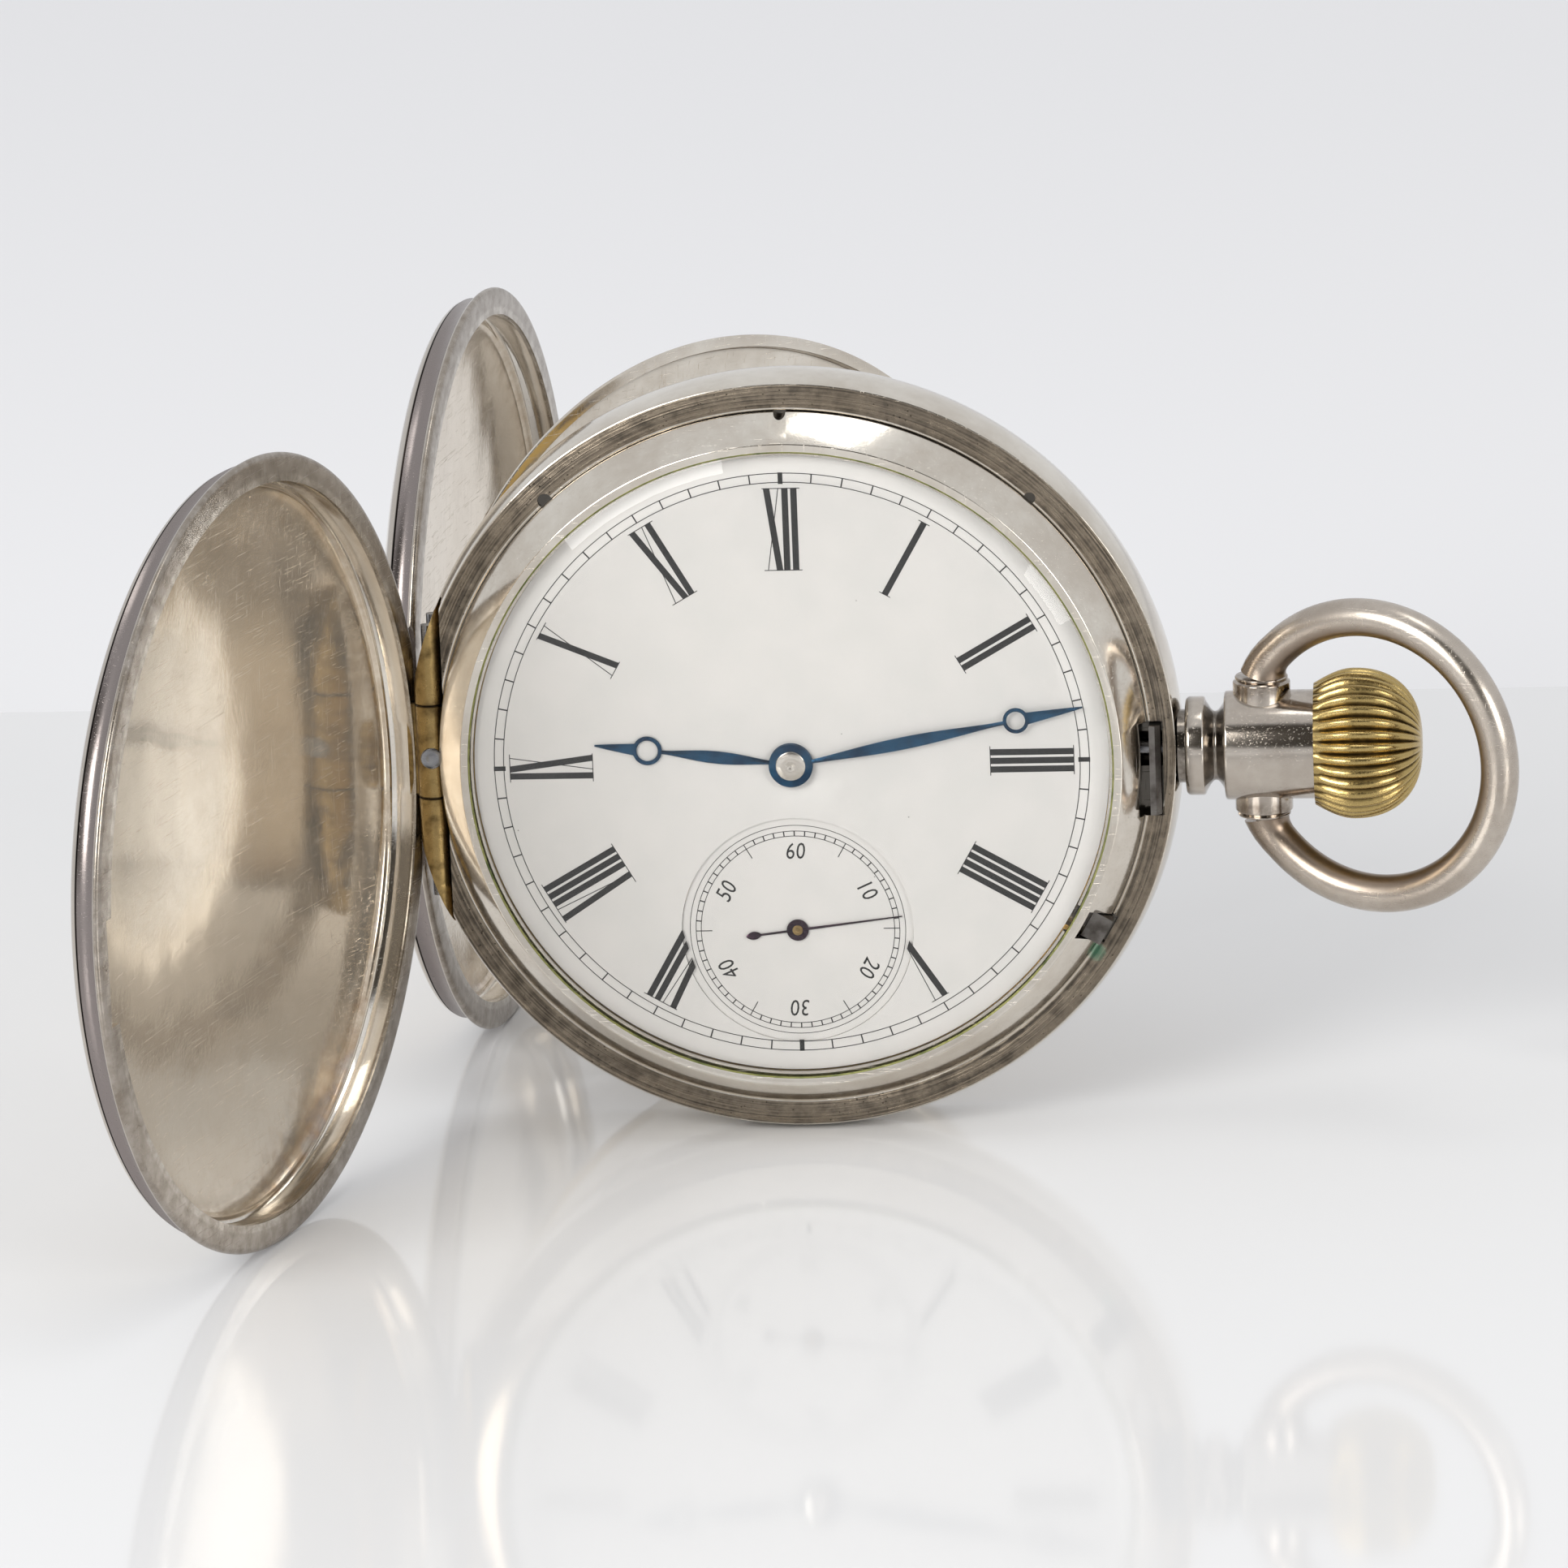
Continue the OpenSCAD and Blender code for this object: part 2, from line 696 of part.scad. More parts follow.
module stem() {
    color("slategray") {
        stem_rod(stem_r, 15.5, crown_x + 3);
        translate([7.8, -0.42, stem_z - 0.42]) cube([7.71, 0.84, 0.84]);
    }
}

module winding_pinion() {
    color("slategray") translate([0, 0, stem_z]) rotate([0, 90, 0]) difference() {
        union() {
            pinion(20, 1.75, 11.9, 13.9);
            rod(1.2, 8.4, 11.9);
            pinion(16, 1.7, 9.2, 10.6);
        }
        translate([-0.43, -0.43, 0]) cube([0.86, 0.86, 30]);
    }
}

module lid_catch() {
    color("dimgray") difference() {
        span_box([catch_x, catch_lo, -2.5], [catch_x + catch_t, catch_hi, -0.8]);
        translate([catch_x + catch_t, 0, -0.8]) rotate([0, 45, 0]) cube([0.5, 20, 0.5], center = true);
    }
}

module setting_pin() {
    color("dimgray") rotate(setting_angle) {
        span_box([22.85, -setting_w / 2, -1.35], [24.3, setting_w / 2, -0.1]);
        span_box([21.95, -0.6, -1.35], [22.9, 0.6, -0.95]);
    }
}

module barrel_drum() {
    color("goldenrod") translate(barrel_at) difference() {
        union() {
            rod(8.3, -5.0, -3.4);
            translate([0, 0, -3.8]) linear_extrude(height = 0.4) polygon(toothed(80, 8.6, 0.25));
        }
        rod(7.7, -4.8, -3.6);
        rod(0.9 + run, -6, -3);
    }
}

module barrel_arbor() {
    color("slategray") translate(barrel_at) {
        rod(0.9, -6.2, -3.1);
        rod(pivot_r, -3.1, -1.5);
    }
}

// The coiled mainspring, hooked to its arbor
module mainspring() {
    color("slategray") translate(barrel_at) {
        tube(7.5, 3.6, -4.75, -3.65);
        difference() {
            translate([0, -0.2, -4.6]) cube([3.7, 0.4, 0.8]);
            rod(0.9, -6, -3);
        }
    }
}

module ratchet_wheel() {
    color("silver") translate(barrel_at) difference() {
        translate([0, 0, winding_low]) linear_extrude(height = winding_thick) polygon(toothed(44, 6.3, 0.4));
        rod(0.45, -7, -6);
    }
}

module ratchet_screw() {
    color("steelblue") screw(barrel_at, 1.5, -6.92, 0.32, 0.45, -6.2);
}

module crown_wheel() {
    color("silver") translate(crown_wheel_at) difference() {
        translate([0, 0, winding_low + 0.05]) linear_extrude(height = winding_thick)
            polygon(toothed(33, 4.65, 0.4));
        rod(0.95 + run, -7, -6);
    }
}

// Fixed core that the crown wheel turns on
module crown_wheel_screw() {
    color("steelblue") {
        screw(crown_wheel_at, 1.7, -6.9, 0.32, 0.95, -6.05);
        translate(crown_wheel_at) rod(0.5, -6.06, -5.4);
    }
}

module click() {
    color("silver") translate(click_at) difference() {
        union() {
            rod(0.9, -6.7, -6.45);
            translate([0, -2.4, -6.7]) cube([0.7, 2.4, 0.25]);
            rod(0.35, -6.45, -5.6);
        }
        rotate(45) translate([-1, -0.1, -6.8]) cube([2, 0.2, 0.2]);
    }
}

module centre_wheel() {
    color("gold") {
        train_wheel(80, 6.5, -2.98, 0.28, 0.9, 5, 1.5);
        pinion(10, 1.3, -5.0, -2.9);
        rod(hub_bore_r, -2.7, 0.1);
        rod(pivot_r, -6.2, -5.0);
    }
}

module cannon_pinion() {
    color("slategray") difference() {
        union() {
            rod(0.75, -1.62, 0.62);
            pinion(12, 1.15, motion_low, -1.25);
        }
        rod(hub_bore_r, -3, 0.1);
    }
}

module minute_wheel() {
    color("gold") translate(minute_wheel_at) difference() {
        union() {
            train_wheel(36, 2.45, motion_low, 0.2, 0.7, 4, 0.8);
            pinion(12, 0.95, -1.41, -1.05);
        }
        rod(post_r + run, -3, 0);
    }
}

module hour_wheel() {
    color("gold") {
        difference() {
            union() {
                train_wheel(48, 2.7, -1.2, 0.18, 0.8, 5, 1.25);
                rod(1.15, -1.2, 0.22);
            }
            rod(0.75 + 0.04, -3, 1);
        }
    }
}

module third_wheel() {
    color("gold") translate(third_at) {
        train_wheel(75, 5.3, -4.6, 0.25, 0.8, 5, 0.9);
        pinion(10, 0.82, -3.3, -2.65);
        rod(0.4, -4.4, -3.3);
        rod(pivot_r, -6.2, -4.6);
        rod(pivot_r, -2.65, -1.3);
    }
}

module fourth_wheel() {
    color("gold") translate(fourth_at) {
        train_wheel(80, 4.35, -3.35, 0.25, 0.7, 5, 0.8);
        pinion(10, 0.75, -4.75, -4.2);
        rod(arbor_r, -4.2, -3.3);
        rod(pivot_r, -6.2, -4.75);
        rod(post_r, -3.1, -0.05);
    }
}

module escape_wheel() {
    color("gold") translate(escape_at) {
        train_wheel(15, 2.8, -4.15, 0.22, 0.9, 4, 0.6);
        pinion(8, 0.5, -3.5, -2.95);
        rod(0.25, -4.0, -3.5);
        rod(pivot_r, -5.9, -4.15);
        rod(pivot_r, -2.95, -1.4);
    }
}

module pallet_fork() {
    heading = atan2(balance_at[1] - escape_at[1], balance_at[0] - escape_at[0]);
    color("slategray") translate(pallet_at) {
        rotate(heading) translate([0, 0, -4.75]) linear_extrude(height = 0.25) {
            translate([0, -0.18]) square([2.6, 0.36]);
            circle(r = 0.45);
            polygon([[2.5, 0.18], [3.05, 0.45], [3.05, 0.2], [2.75, 0], [3.05, -0.2], [3.05, -0.45], [2.5, -0.18]]);
            for (s = [-1, 1]) polygon([[0, s * 0.3], [-0.35, s * 1.6], [-0.75, s * 1.55], [-0.4, s * 0.1]]);
        }
        rod(pivot_r, -5.1, -1.4);
    }
}

module balance_wheel() {
    color("gold") translate(balance_at) {
        tube(balance_r, balance_r - 0.7, -5.95, -5.35);
        difference() {
            translate([-balance_r + 0.3, -0.45, balance_low]) cube([2 * balance_r - 0.6, 0.9, 0.3]);
            rod(0.5, cut_low, cut_top);
        }
        tube(1.0, hub_bore_r, balance_low, -5.45);
        for (a = [15 : 30 : 345]) rotate(a)
            translate([balance_r - 0.05, 0, -5.65]) rotate([0, 90, 0]) cylinder(r = 0.22, h = 0.4, $fn = 24);
    }
}

module balance_staff() {
    color("slategray") translate(balance_at) {
        rod(hub_bore_r, -6.2, -4.4);
        rod(0.15, -6.83, -6.2);
        rod(0.9, -4.75, -4.5);
        rod(pivot_r, -4.4, -1.4);
    }
}

// Flat spiral, joined to the collet and to a stud under the cock
module hairspring() {
    turns = 7;
    steps = 24 * turns;
    wide = 0.09;
    color("steelblue") translate(balance_at) {
        translate([0, 0, -6.2]) linear_extrude(height = 0.16) polygon(concat(
            [for (i = [0 : steps]) let (r = 0.85 + 2.7 * i / steps + wide / 2) polar(r, 15 * i)],
            [for (i = [steps : -1 : 0]) let (r = 0.85 + 2.7 * i / steps - wide / 2) polar(r, 15 * i)]
        ));
        tube(0.9, hub_bore_r, -6.2, -6.04);
    }
}

// ---------------------------------------------------------------- hands

// Blade that swells between two half widths, from x0 to x1
module blade(x0, x1, w0, w_mid, w1) {
    n = 8;
    function half(t) = (t < 0.5 ? w0 + (w_mid - w0) * sin(180 * t) : w1 + (w_mid - w1) * sin(180 * t));
    polygon(concat(
        [for (i = [0 : n]) let (t = i / n) [x0 + (x1 - x0) * t, -half(t)]],
        [for (i = [n : -1 : 0]) let (t = i / n) [x0 + (x1 - x0) * t, half(t)]]
    ));
}

// Hand with an open ring near its tip, the ring's eye set off centre
module ring_hand(z, thick, hub_r, eye_r, ring_at, ring_r, tip_at) {
    tip_base = ring_at + ring_r - 0.15;
    translate([0, 0, z]) difference() {
        union() {
            rod(hub_r, 0, thick);
            linear_extrude(height = thick) blade(hub_r - 0.2, ring_at - ring_r + 0.15, 0.13, 0.42, 0.12);
            translate([ring_at, 0, 0]) rod(ring_r, 0, thick);
            linear_extrude(height = thick)
                polygon([[tip_base, -0.4], [tip_at, -0.05], [tip_at, 0.05], [tip_base, 0.4]]);
        }
        translate([ring_at + 0.08, 0, 0]) rod(ring_r * 0.68, -1, 1);
        rod(eye_r, -1, 1);
    }
}

module hour_hand() {
    color("steelblue") rotate(90 - hour_angle) ring_hand(0.1, 0.12, 1.5, 1.15, 9.8, 1.0, 13.4);
}

module minute_hand() {
    color("steelblue") rotate(90 - minute_angle) ring_hand(0.42, 0.12, 1.5, 0.75, 15.6, 0.88, 20.2);
}

module seconds_hand() {
    color("indigo") translate([0, -seconds_drop, 0]) rotate(90 - seconds_angle)
        translate([0, 0, -0.1]) difference() {
            union() {
                rod(0.75, 0, 0.1);
                linear_extrude(height = 0.1) polygon([
                    [-3.55, 0], [-3.3, -0.22], [-3.0, -0.27], [-2.7, -0.2], [-2.4, -0.07], [-0.6, -0.08],
                    [0.6, -0.08], [7.25, -0.035], [7.25, 0.035], [0.6, 0.08], [-0.6, 0.08], [-2.4, 0.07],
                    [-2.7, 0.2], [-3.0, 0.27], [-3.3, 0.22]
                ]);
            }
            rod(0.3, -1, 1);
        }
}

// ---------------------------------------------------------------- drawing

stand() {
    case_middle();
    bezel();
    glass();
    dial();
    seconds_dial();
    front_hinge_knuckles();
    back_hinge_knuckles();
    front_hinge_pin();
    back_hinge_pin();
    lift_spring();
    catch_spring();
    case_screws();
    pendant();
    main_plate();
    pillars();
    three_quarter_plate();
    plate_screws();
    plate_jewels();
    balance_cock();
    cock_screw();
    cock_jewel();
    pallet_bridge();
    regulator();
    click_spring();
    crown_wheel_screw();
    front_lid();
    front_lid_knuckle();
    back_lid();
    back_lid_knuckle();
    cuvette();
    cuvette_knuckle();
    bow();
    push_sleeve();
    crown();
    stem();
    winding_pinion();
    lid_catch();
    setting_pin();
    barrel_drum();
    barrel_arbor();
    mainspring();
    ratchet_wheel();
    ratchet_screw();
    crown_wheel();
    click();
    centre_wheel();
    cannon_pinion();
    minute_hand();
    minute_wheel();
    hour_wheel();
    hour_hand();
    third_wheel();
    fourth_wheel();
    seconds_hand();
    escape_wheel();
    pallet_fork();
    balance_wheel();
    balance_staff();
    hairspring();
}
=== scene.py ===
"""Visual model of a silver hunter-case pocket watch, standing open on its edge.

Each part of the watch is a class whose fields are its sizes in millimetres and whose methods build and
dress its pieces. Each finish is a frozen dataclass that makes one procedural material. Everything is
drawn in the watch's own frame (x to the crown, y to twelve o'clock, z out of the dial) and turned
upright by the frame read from the CAD model.
"""

import json
import logging
import math
from dataclasses import dataclass
from enum import Enum
from typing import Any, Callable, ClassVar, Iterable, Sequence

import bmesh
import bpy
from mathutils import Matrix, Vector


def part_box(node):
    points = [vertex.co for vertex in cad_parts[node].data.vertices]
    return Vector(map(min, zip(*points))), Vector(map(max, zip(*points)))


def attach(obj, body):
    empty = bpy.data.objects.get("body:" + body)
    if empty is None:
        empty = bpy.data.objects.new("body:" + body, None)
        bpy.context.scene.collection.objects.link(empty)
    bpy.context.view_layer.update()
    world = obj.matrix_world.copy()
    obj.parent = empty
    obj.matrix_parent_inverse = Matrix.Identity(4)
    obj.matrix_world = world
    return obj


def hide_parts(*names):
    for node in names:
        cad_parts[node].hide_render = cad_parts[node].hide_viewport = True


LOG = logging.getLogger("pocket_watch")
MM = 0.001
TURN = 2.0 * math.pi
SMALL_DIAL_Y = -11.7

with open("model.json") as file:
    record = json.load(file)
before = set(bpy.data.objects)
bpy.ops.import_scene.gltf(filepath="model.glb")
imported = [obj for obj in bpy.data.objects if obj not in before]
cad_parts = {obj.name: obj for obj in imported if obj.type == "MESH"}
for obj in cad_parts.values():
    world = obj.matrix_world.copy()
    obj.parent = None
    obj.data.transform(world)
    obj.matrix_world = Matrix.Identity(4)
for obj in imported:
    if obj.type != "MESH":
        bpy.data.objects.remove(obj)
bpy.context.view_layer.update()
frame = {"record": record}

Socket = bpy.types.NodeSocket
Profile = Sequence[tuple[float, float]]


# ---------------------------------------------------------------- places


def joint(name: str) -> dict[str, Any]:
    """Find a joint of the record.

    Args:
        name: The joint's name.

    Returns:
        The joint's entry.
    """
    return next(j for j in frame["record"]["behaviour"]["joints"] if j["name"] == name)


def upright() -> Matrix:
    """Work out the watch's own frame from the dial.

    Returns:
        The matrix that takes watch millimetres to metres in the shared frame.
    """
    low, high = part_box("dial")
    centre = Vector(((low.x + high.x) / 2, low.y, (low.z + high.z) / 2))
    return Matrix.Translation(centre) @ Matrix.Rotation(math.radians(90), 4, "X") @ Matrix.Scale(MM, 4)


UPRIGHT = upright()


def shift(x: float, y: float, z: float) -> Matrix:
    """Make a translation in millimetres inside the watch's frame.

    Args:
        x: Distance toward the crown.
        y: Distance toward twelve.
        z: Distance out of the dial.

    Returns:
        The translation.
    """
    return Matrix.Translation((x, y, z))


def cover_frame(joint_name: str, seat_z: float) -> Matrix:
    """Work out the frame of a cover as it stands open.

    Args:
        joint_name: The cover's hinge joint.
        seat_z: Height of the cover's rim when it is shut, in watch millimetres.

    Returns:
        The matrix from the shut cover's own millimetres to metres, turned open about the hinge.
    """
    hinge = joint(joint_name)
    low, high = hinge["range_deg"]
    shut = high if high > -low else low
    pin = Vector(hinge["pos_m"])
    turn = Matrix.Translation(pin) @ Matrix.Rotation(math.radians(-shut), 4, "Z") @ Matrix.Translation(-pin)
    return turn @ UPRIGHT @ shift(0, 0, seat_z)


def side_frame() -> Matrix:
    """Frame of the stem: its z axis runs out along the crown's axis from the middle of the watch.

    Returns:
        The matrix from millimetres along the stem to metres.
    """
    low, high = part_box("push_sleeve")
    stem_depth = -(low.y + high.y) / 2 / MM
    return UPRIGHT @ shift(0, 0, stem_depth) @ Matrix.Rotation(math.radians(90), 4, "Y")


# ---------------------------------------------------------------- meshes


def fineness(full: int = 220) -> int:
    """Choose the steps round a large turned piece.

    Args:
        full: Steps of the final piece.
    """
    return full


def lathe(profile: Profile, steps: int = 160) -> bmesh.types.BMesh:
    """Turn a closed outline of (radius, height) points about z.

    Args:
        profile: The outline, in order.
        steps: Number of steps round the axis.

    Returns:
        The turned body.
    """
    bm = bmesh.new()
    verts = [bm.verts.new((r, 0, z)) for r, z in profile]
    edges = [bm.edges.new((a, b)) for a, b in zip(verts, verts[1:] + verts[:1])]
    bmesh.ops.spin(
        bm, geom=verts + edges, cent=(0, 0, 0), axis=(0, 0, 1), angle=TURN, steps=steps, use_merge=True
    )
    bmesh.ops.remove_doubles(bm, verts=bm.verts, dist=1e-4)
    bmesh.ops.delete(bm, geom=[e for e in bm.edges if not e.link_faces], context="EDGES")
    bmesh.ops.recalc_face_normals(bm, faces=bm.faces)
    return bm


def arc(
    cx: float, cz: float, r: float, start: float, end: float, steps: int = 5
) -> list[tuple[float, float]]:
    """List points on an arc of an outline, from one angle to another in degrees.

    Args:
        cx: Radius of its centre.
        cz: Height of its centre.
        r: Radius.
        start: First angle.
        end: Last angle.
        steps: Number of steps.

    Returns:
        The points.
    """
    angles = [math.radians(start + (end - start) * i / steps) for i in range(steps + 1)]
    return [(cx + r * math.cos(a), cz + r * math.sin(a)) for a in angles]


def dome(r: float, z: float, rise: float, steps: int = 26, low: float = 0.0) -> list[tuple[float, float]]:
    """List points of a dome from its edge at radius r to the axis.

    Args:
        r: Radius of its edge.
        z: Height of its edge.
        rise: Height of its crown over the edge.
        steps: Number of steps.
        low: Angle it starts from.

    Returns:
        The points.
    """
    angles = [math.radians(low + (90 - low) * i / steps) for i in range(steps + 1)]
    return [(max(r * math.cos(a), 0.0), z + rise * math.sin(a)) for a in angles]


def block(low: Sequence[float], high: Sequence[float], at: Matrix | None = None) -> bmesh.types.BMesh:
    """Make a box between two corners.

    Args:
        low: One corner.
        high: The opposite corner.
        at: Where it is then placed.

    Returns:
        The box.
    """
    bm = bmesh.new()
    middle = (Vector(low) + Vector(high)) / 2
    size = Vector(high) - Vector(low)
    bmesh.ops.create_cube(bm, size=1, matrix=Matrix.Translation(middle) @ Matrix.Diagonal((*size, 1)))
    if at is not None:
        bmesh.ops.transform(bm, matrix=at, verts=bm.verts)
    return bm


def round_bar(radius: float, start: Vector, end: Vector, segments: int = 48) -> bmesh.types.BMesh:
    """Make a cylinder between two points.

    Args:
        radius: Its radius.
        start: Where it starts.
        end: Where it ends.
        segments: Sides of the cylinder.

    Returns:
        The cylinder.
    """
    bm = bmesh.new()
    along = end - start
    at = Matrix.Translation((start + end) / 2) @ along.to_track_quat("Z", "Y").to_matrix().to_4x4()
    bmesh.ops.create_cone(
        bm, cap_ends=True, segments=segments, radius1=radius, radius2=radius, depth=along.length, matrix=at
    )
    return bm


def join(
    target: bmesh.types.BMesh, *others: bmesh.types.BMesh, at: Matrix | None = None
) -> bmesh.types.BMesh:
    """Add other bodies to a body, placing them first.

    Args:
        target: The body that grows.
        others: Bodies to add; they are used up.
        at: Where they are placed.

    Returns:
        The grown body.
    """
    for other in others:
        if at is not None:
            bmesh.ops.transform(other, matrix=at, verts=other.verts)
        mesh = bpy.data.meshes.new("join")
        other.to_mesh(mesh)
        other.free()
        target.from_mesh(mesh)
        bpy.data.meshes.remove(mesh)
    return target


def carve(body: bmesh.types.BMesh, cutters: Iterable[bmesh.types.BMesh]) -> bmesh.types.BMesh:
    """Cut bodies out of a body.

    Args:
        body: What is cut.
        cutters: What is taken away.

    Returns:
        The body that is left.
    """

    def park(bm: bmesh.types.BMesh) -> bpy.types.Object:
        """Hold a body in a temporary object.

        Args:
            bm: The body; it is used up.

        Returns:
            A temporary object that holds it.
        """
        mesh = bpy.data.meshes.new("carve")
        bm.to_mesh(mesh)
        bm.free()
        obj = bpy.data.objects.new("carve", mesh)
        bpy.context.scene.collection.objects.link(obj)
        return obj

    base = park(body)
    tools = [park(c) for c in cutters]
    for tool in tools:
        cut = base.modifiers.new("cut", "BOOLEAN")
        cut.operation = "DIFFERENCE"
        cut.solver = "EXACT"
        cut.object = tool
    graph = bpy.context.evaluated_depsgraph_get()
    result = bmesh.new()
    result.from_mesh(base.evaluated_get(graph).to_mesh())
    for obj in [base, *tools]:
        mesh = obj.data
        bpy.data.objects.remove(obj)
        bpy.data.meshes.remove(mesh)
    return result


def sweep(path: Sequence[Vector], radii: Sequence[float], sides: int = 28) -> bmesh.types.BMesh:
    """Run a round section along a path that lies in the xy plane.

    Args:
        path: Points of the centre line.
        radii: Radius at each point.
        sides: Sides of the section.

    Returns:
        The swept wire with closed ends.
    """
    bm = bmesh.new()
    rings = []
    for i, (point, radius) in enumerate(zip(path, radii)):
        along = path[min(i + 1, len(path) - 1)] - path[max(i - 1, 0)]
        heading = math.atan2(along.y, along.x)
        at = Matrix.Translation(point) @ Matrix.Rotation(heading, 4, "Z") @ Matrix.Rotation(
            math.pi / 2, 4, "Y"
        )
        ring = bmesh.ops.create_circle(
            bm, cap_ends=False, segments=sides, radius=radius, matrix=at
        )["verts"]
        rings.append(list({e for v in ring for e in v.link_edges}))
    for a, b in zip(rings, rings[1:]):
        bmesh.ops.bridge_loops(bm, edges=a + b)
    bmesh.ops.holes_fill(bm, edges=rings[0] + rings[-1])
    bmesh.ops.recalc_face_normals(bm, faces=bm.faces)
    return bm


def piece(
    name: str,
    bm: bmesh.types.BMesh,
    body: str,
    material: bpy.types.Material,
    at: Matrix = UPRIGHT,
    replaces: Sequence[str] = (),
    sharp: float = 32.0,
) -> bpy.types.Object:
    """Make a finished body into a piece of the watch.

    Args:
        name: The piece's name.
        bm: Its shape, in millimetres; it is used up.
        body: The moving body it belongs to.
        material: What it is dressed in.
        at: The frame it is drawn in.
        replaces: CAD nodes it stands for.
        sharp: Edges turning more than this many degrees stay crisp.

    Returns:
        The new object.
    """
    bmesh.ops.transform(bm, matrix=at, verts=bm.verts)
    bmesh.ops.recalc_face_normals(bm, faces=bm.faces)
    mesh = bpy.data.meshes.new(name)
    bm.to_mesh(mesh)
    bm.free()
    mesh.polygons.foreach_set("use_smooth", [True] * len(mesh.polygons))
    mesh.set_sharp_from_angle(angle=math.radians(sharp))
    obj = bpy.data.objects.new(name, mesh)
    bpy.context.scene.collection.objects.link(obj)
    mesh.materials.append(material)
    if replaces:
        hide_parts(*replaces)
    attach(obj, body)
    LOG.info("%s: %d faces, rides %s", name, len(mesh.polygons), body)
    return obj


def dress(material: bpy.types.Material, *nodes: str) -> None:
    """Give CAD nodes that stay in view their material.

    Args:
        material: The material.
        nodes: Names of the nodes.
    """
    for name in nodes:
        obj = bpy.data.objects[name]
        obj.data.materials.clear()
        obj.data.materials.append(material)
        LOG.info("%s: dressed in %s", name, material.name)


# ---------------------------------------------------------------- materials


def colour(code: str) -> tuple[float, float, float, float]:
    """Turn an sRGB hex colour into linear light.

    Args:
        code: The colour as #RRGGBB.

    Returns:
        Linear red, green, blue and an alpha of one.
    """
    parts = [int(code[i : i + 2], 16) / 255 for i in (1, 3, 5)]
    linear = [p / 12.92 if p <= 0.04045 else ((p + 0.055) / 1.055) ** 2.4 for p in parts]
    return (*linear, 1.0)


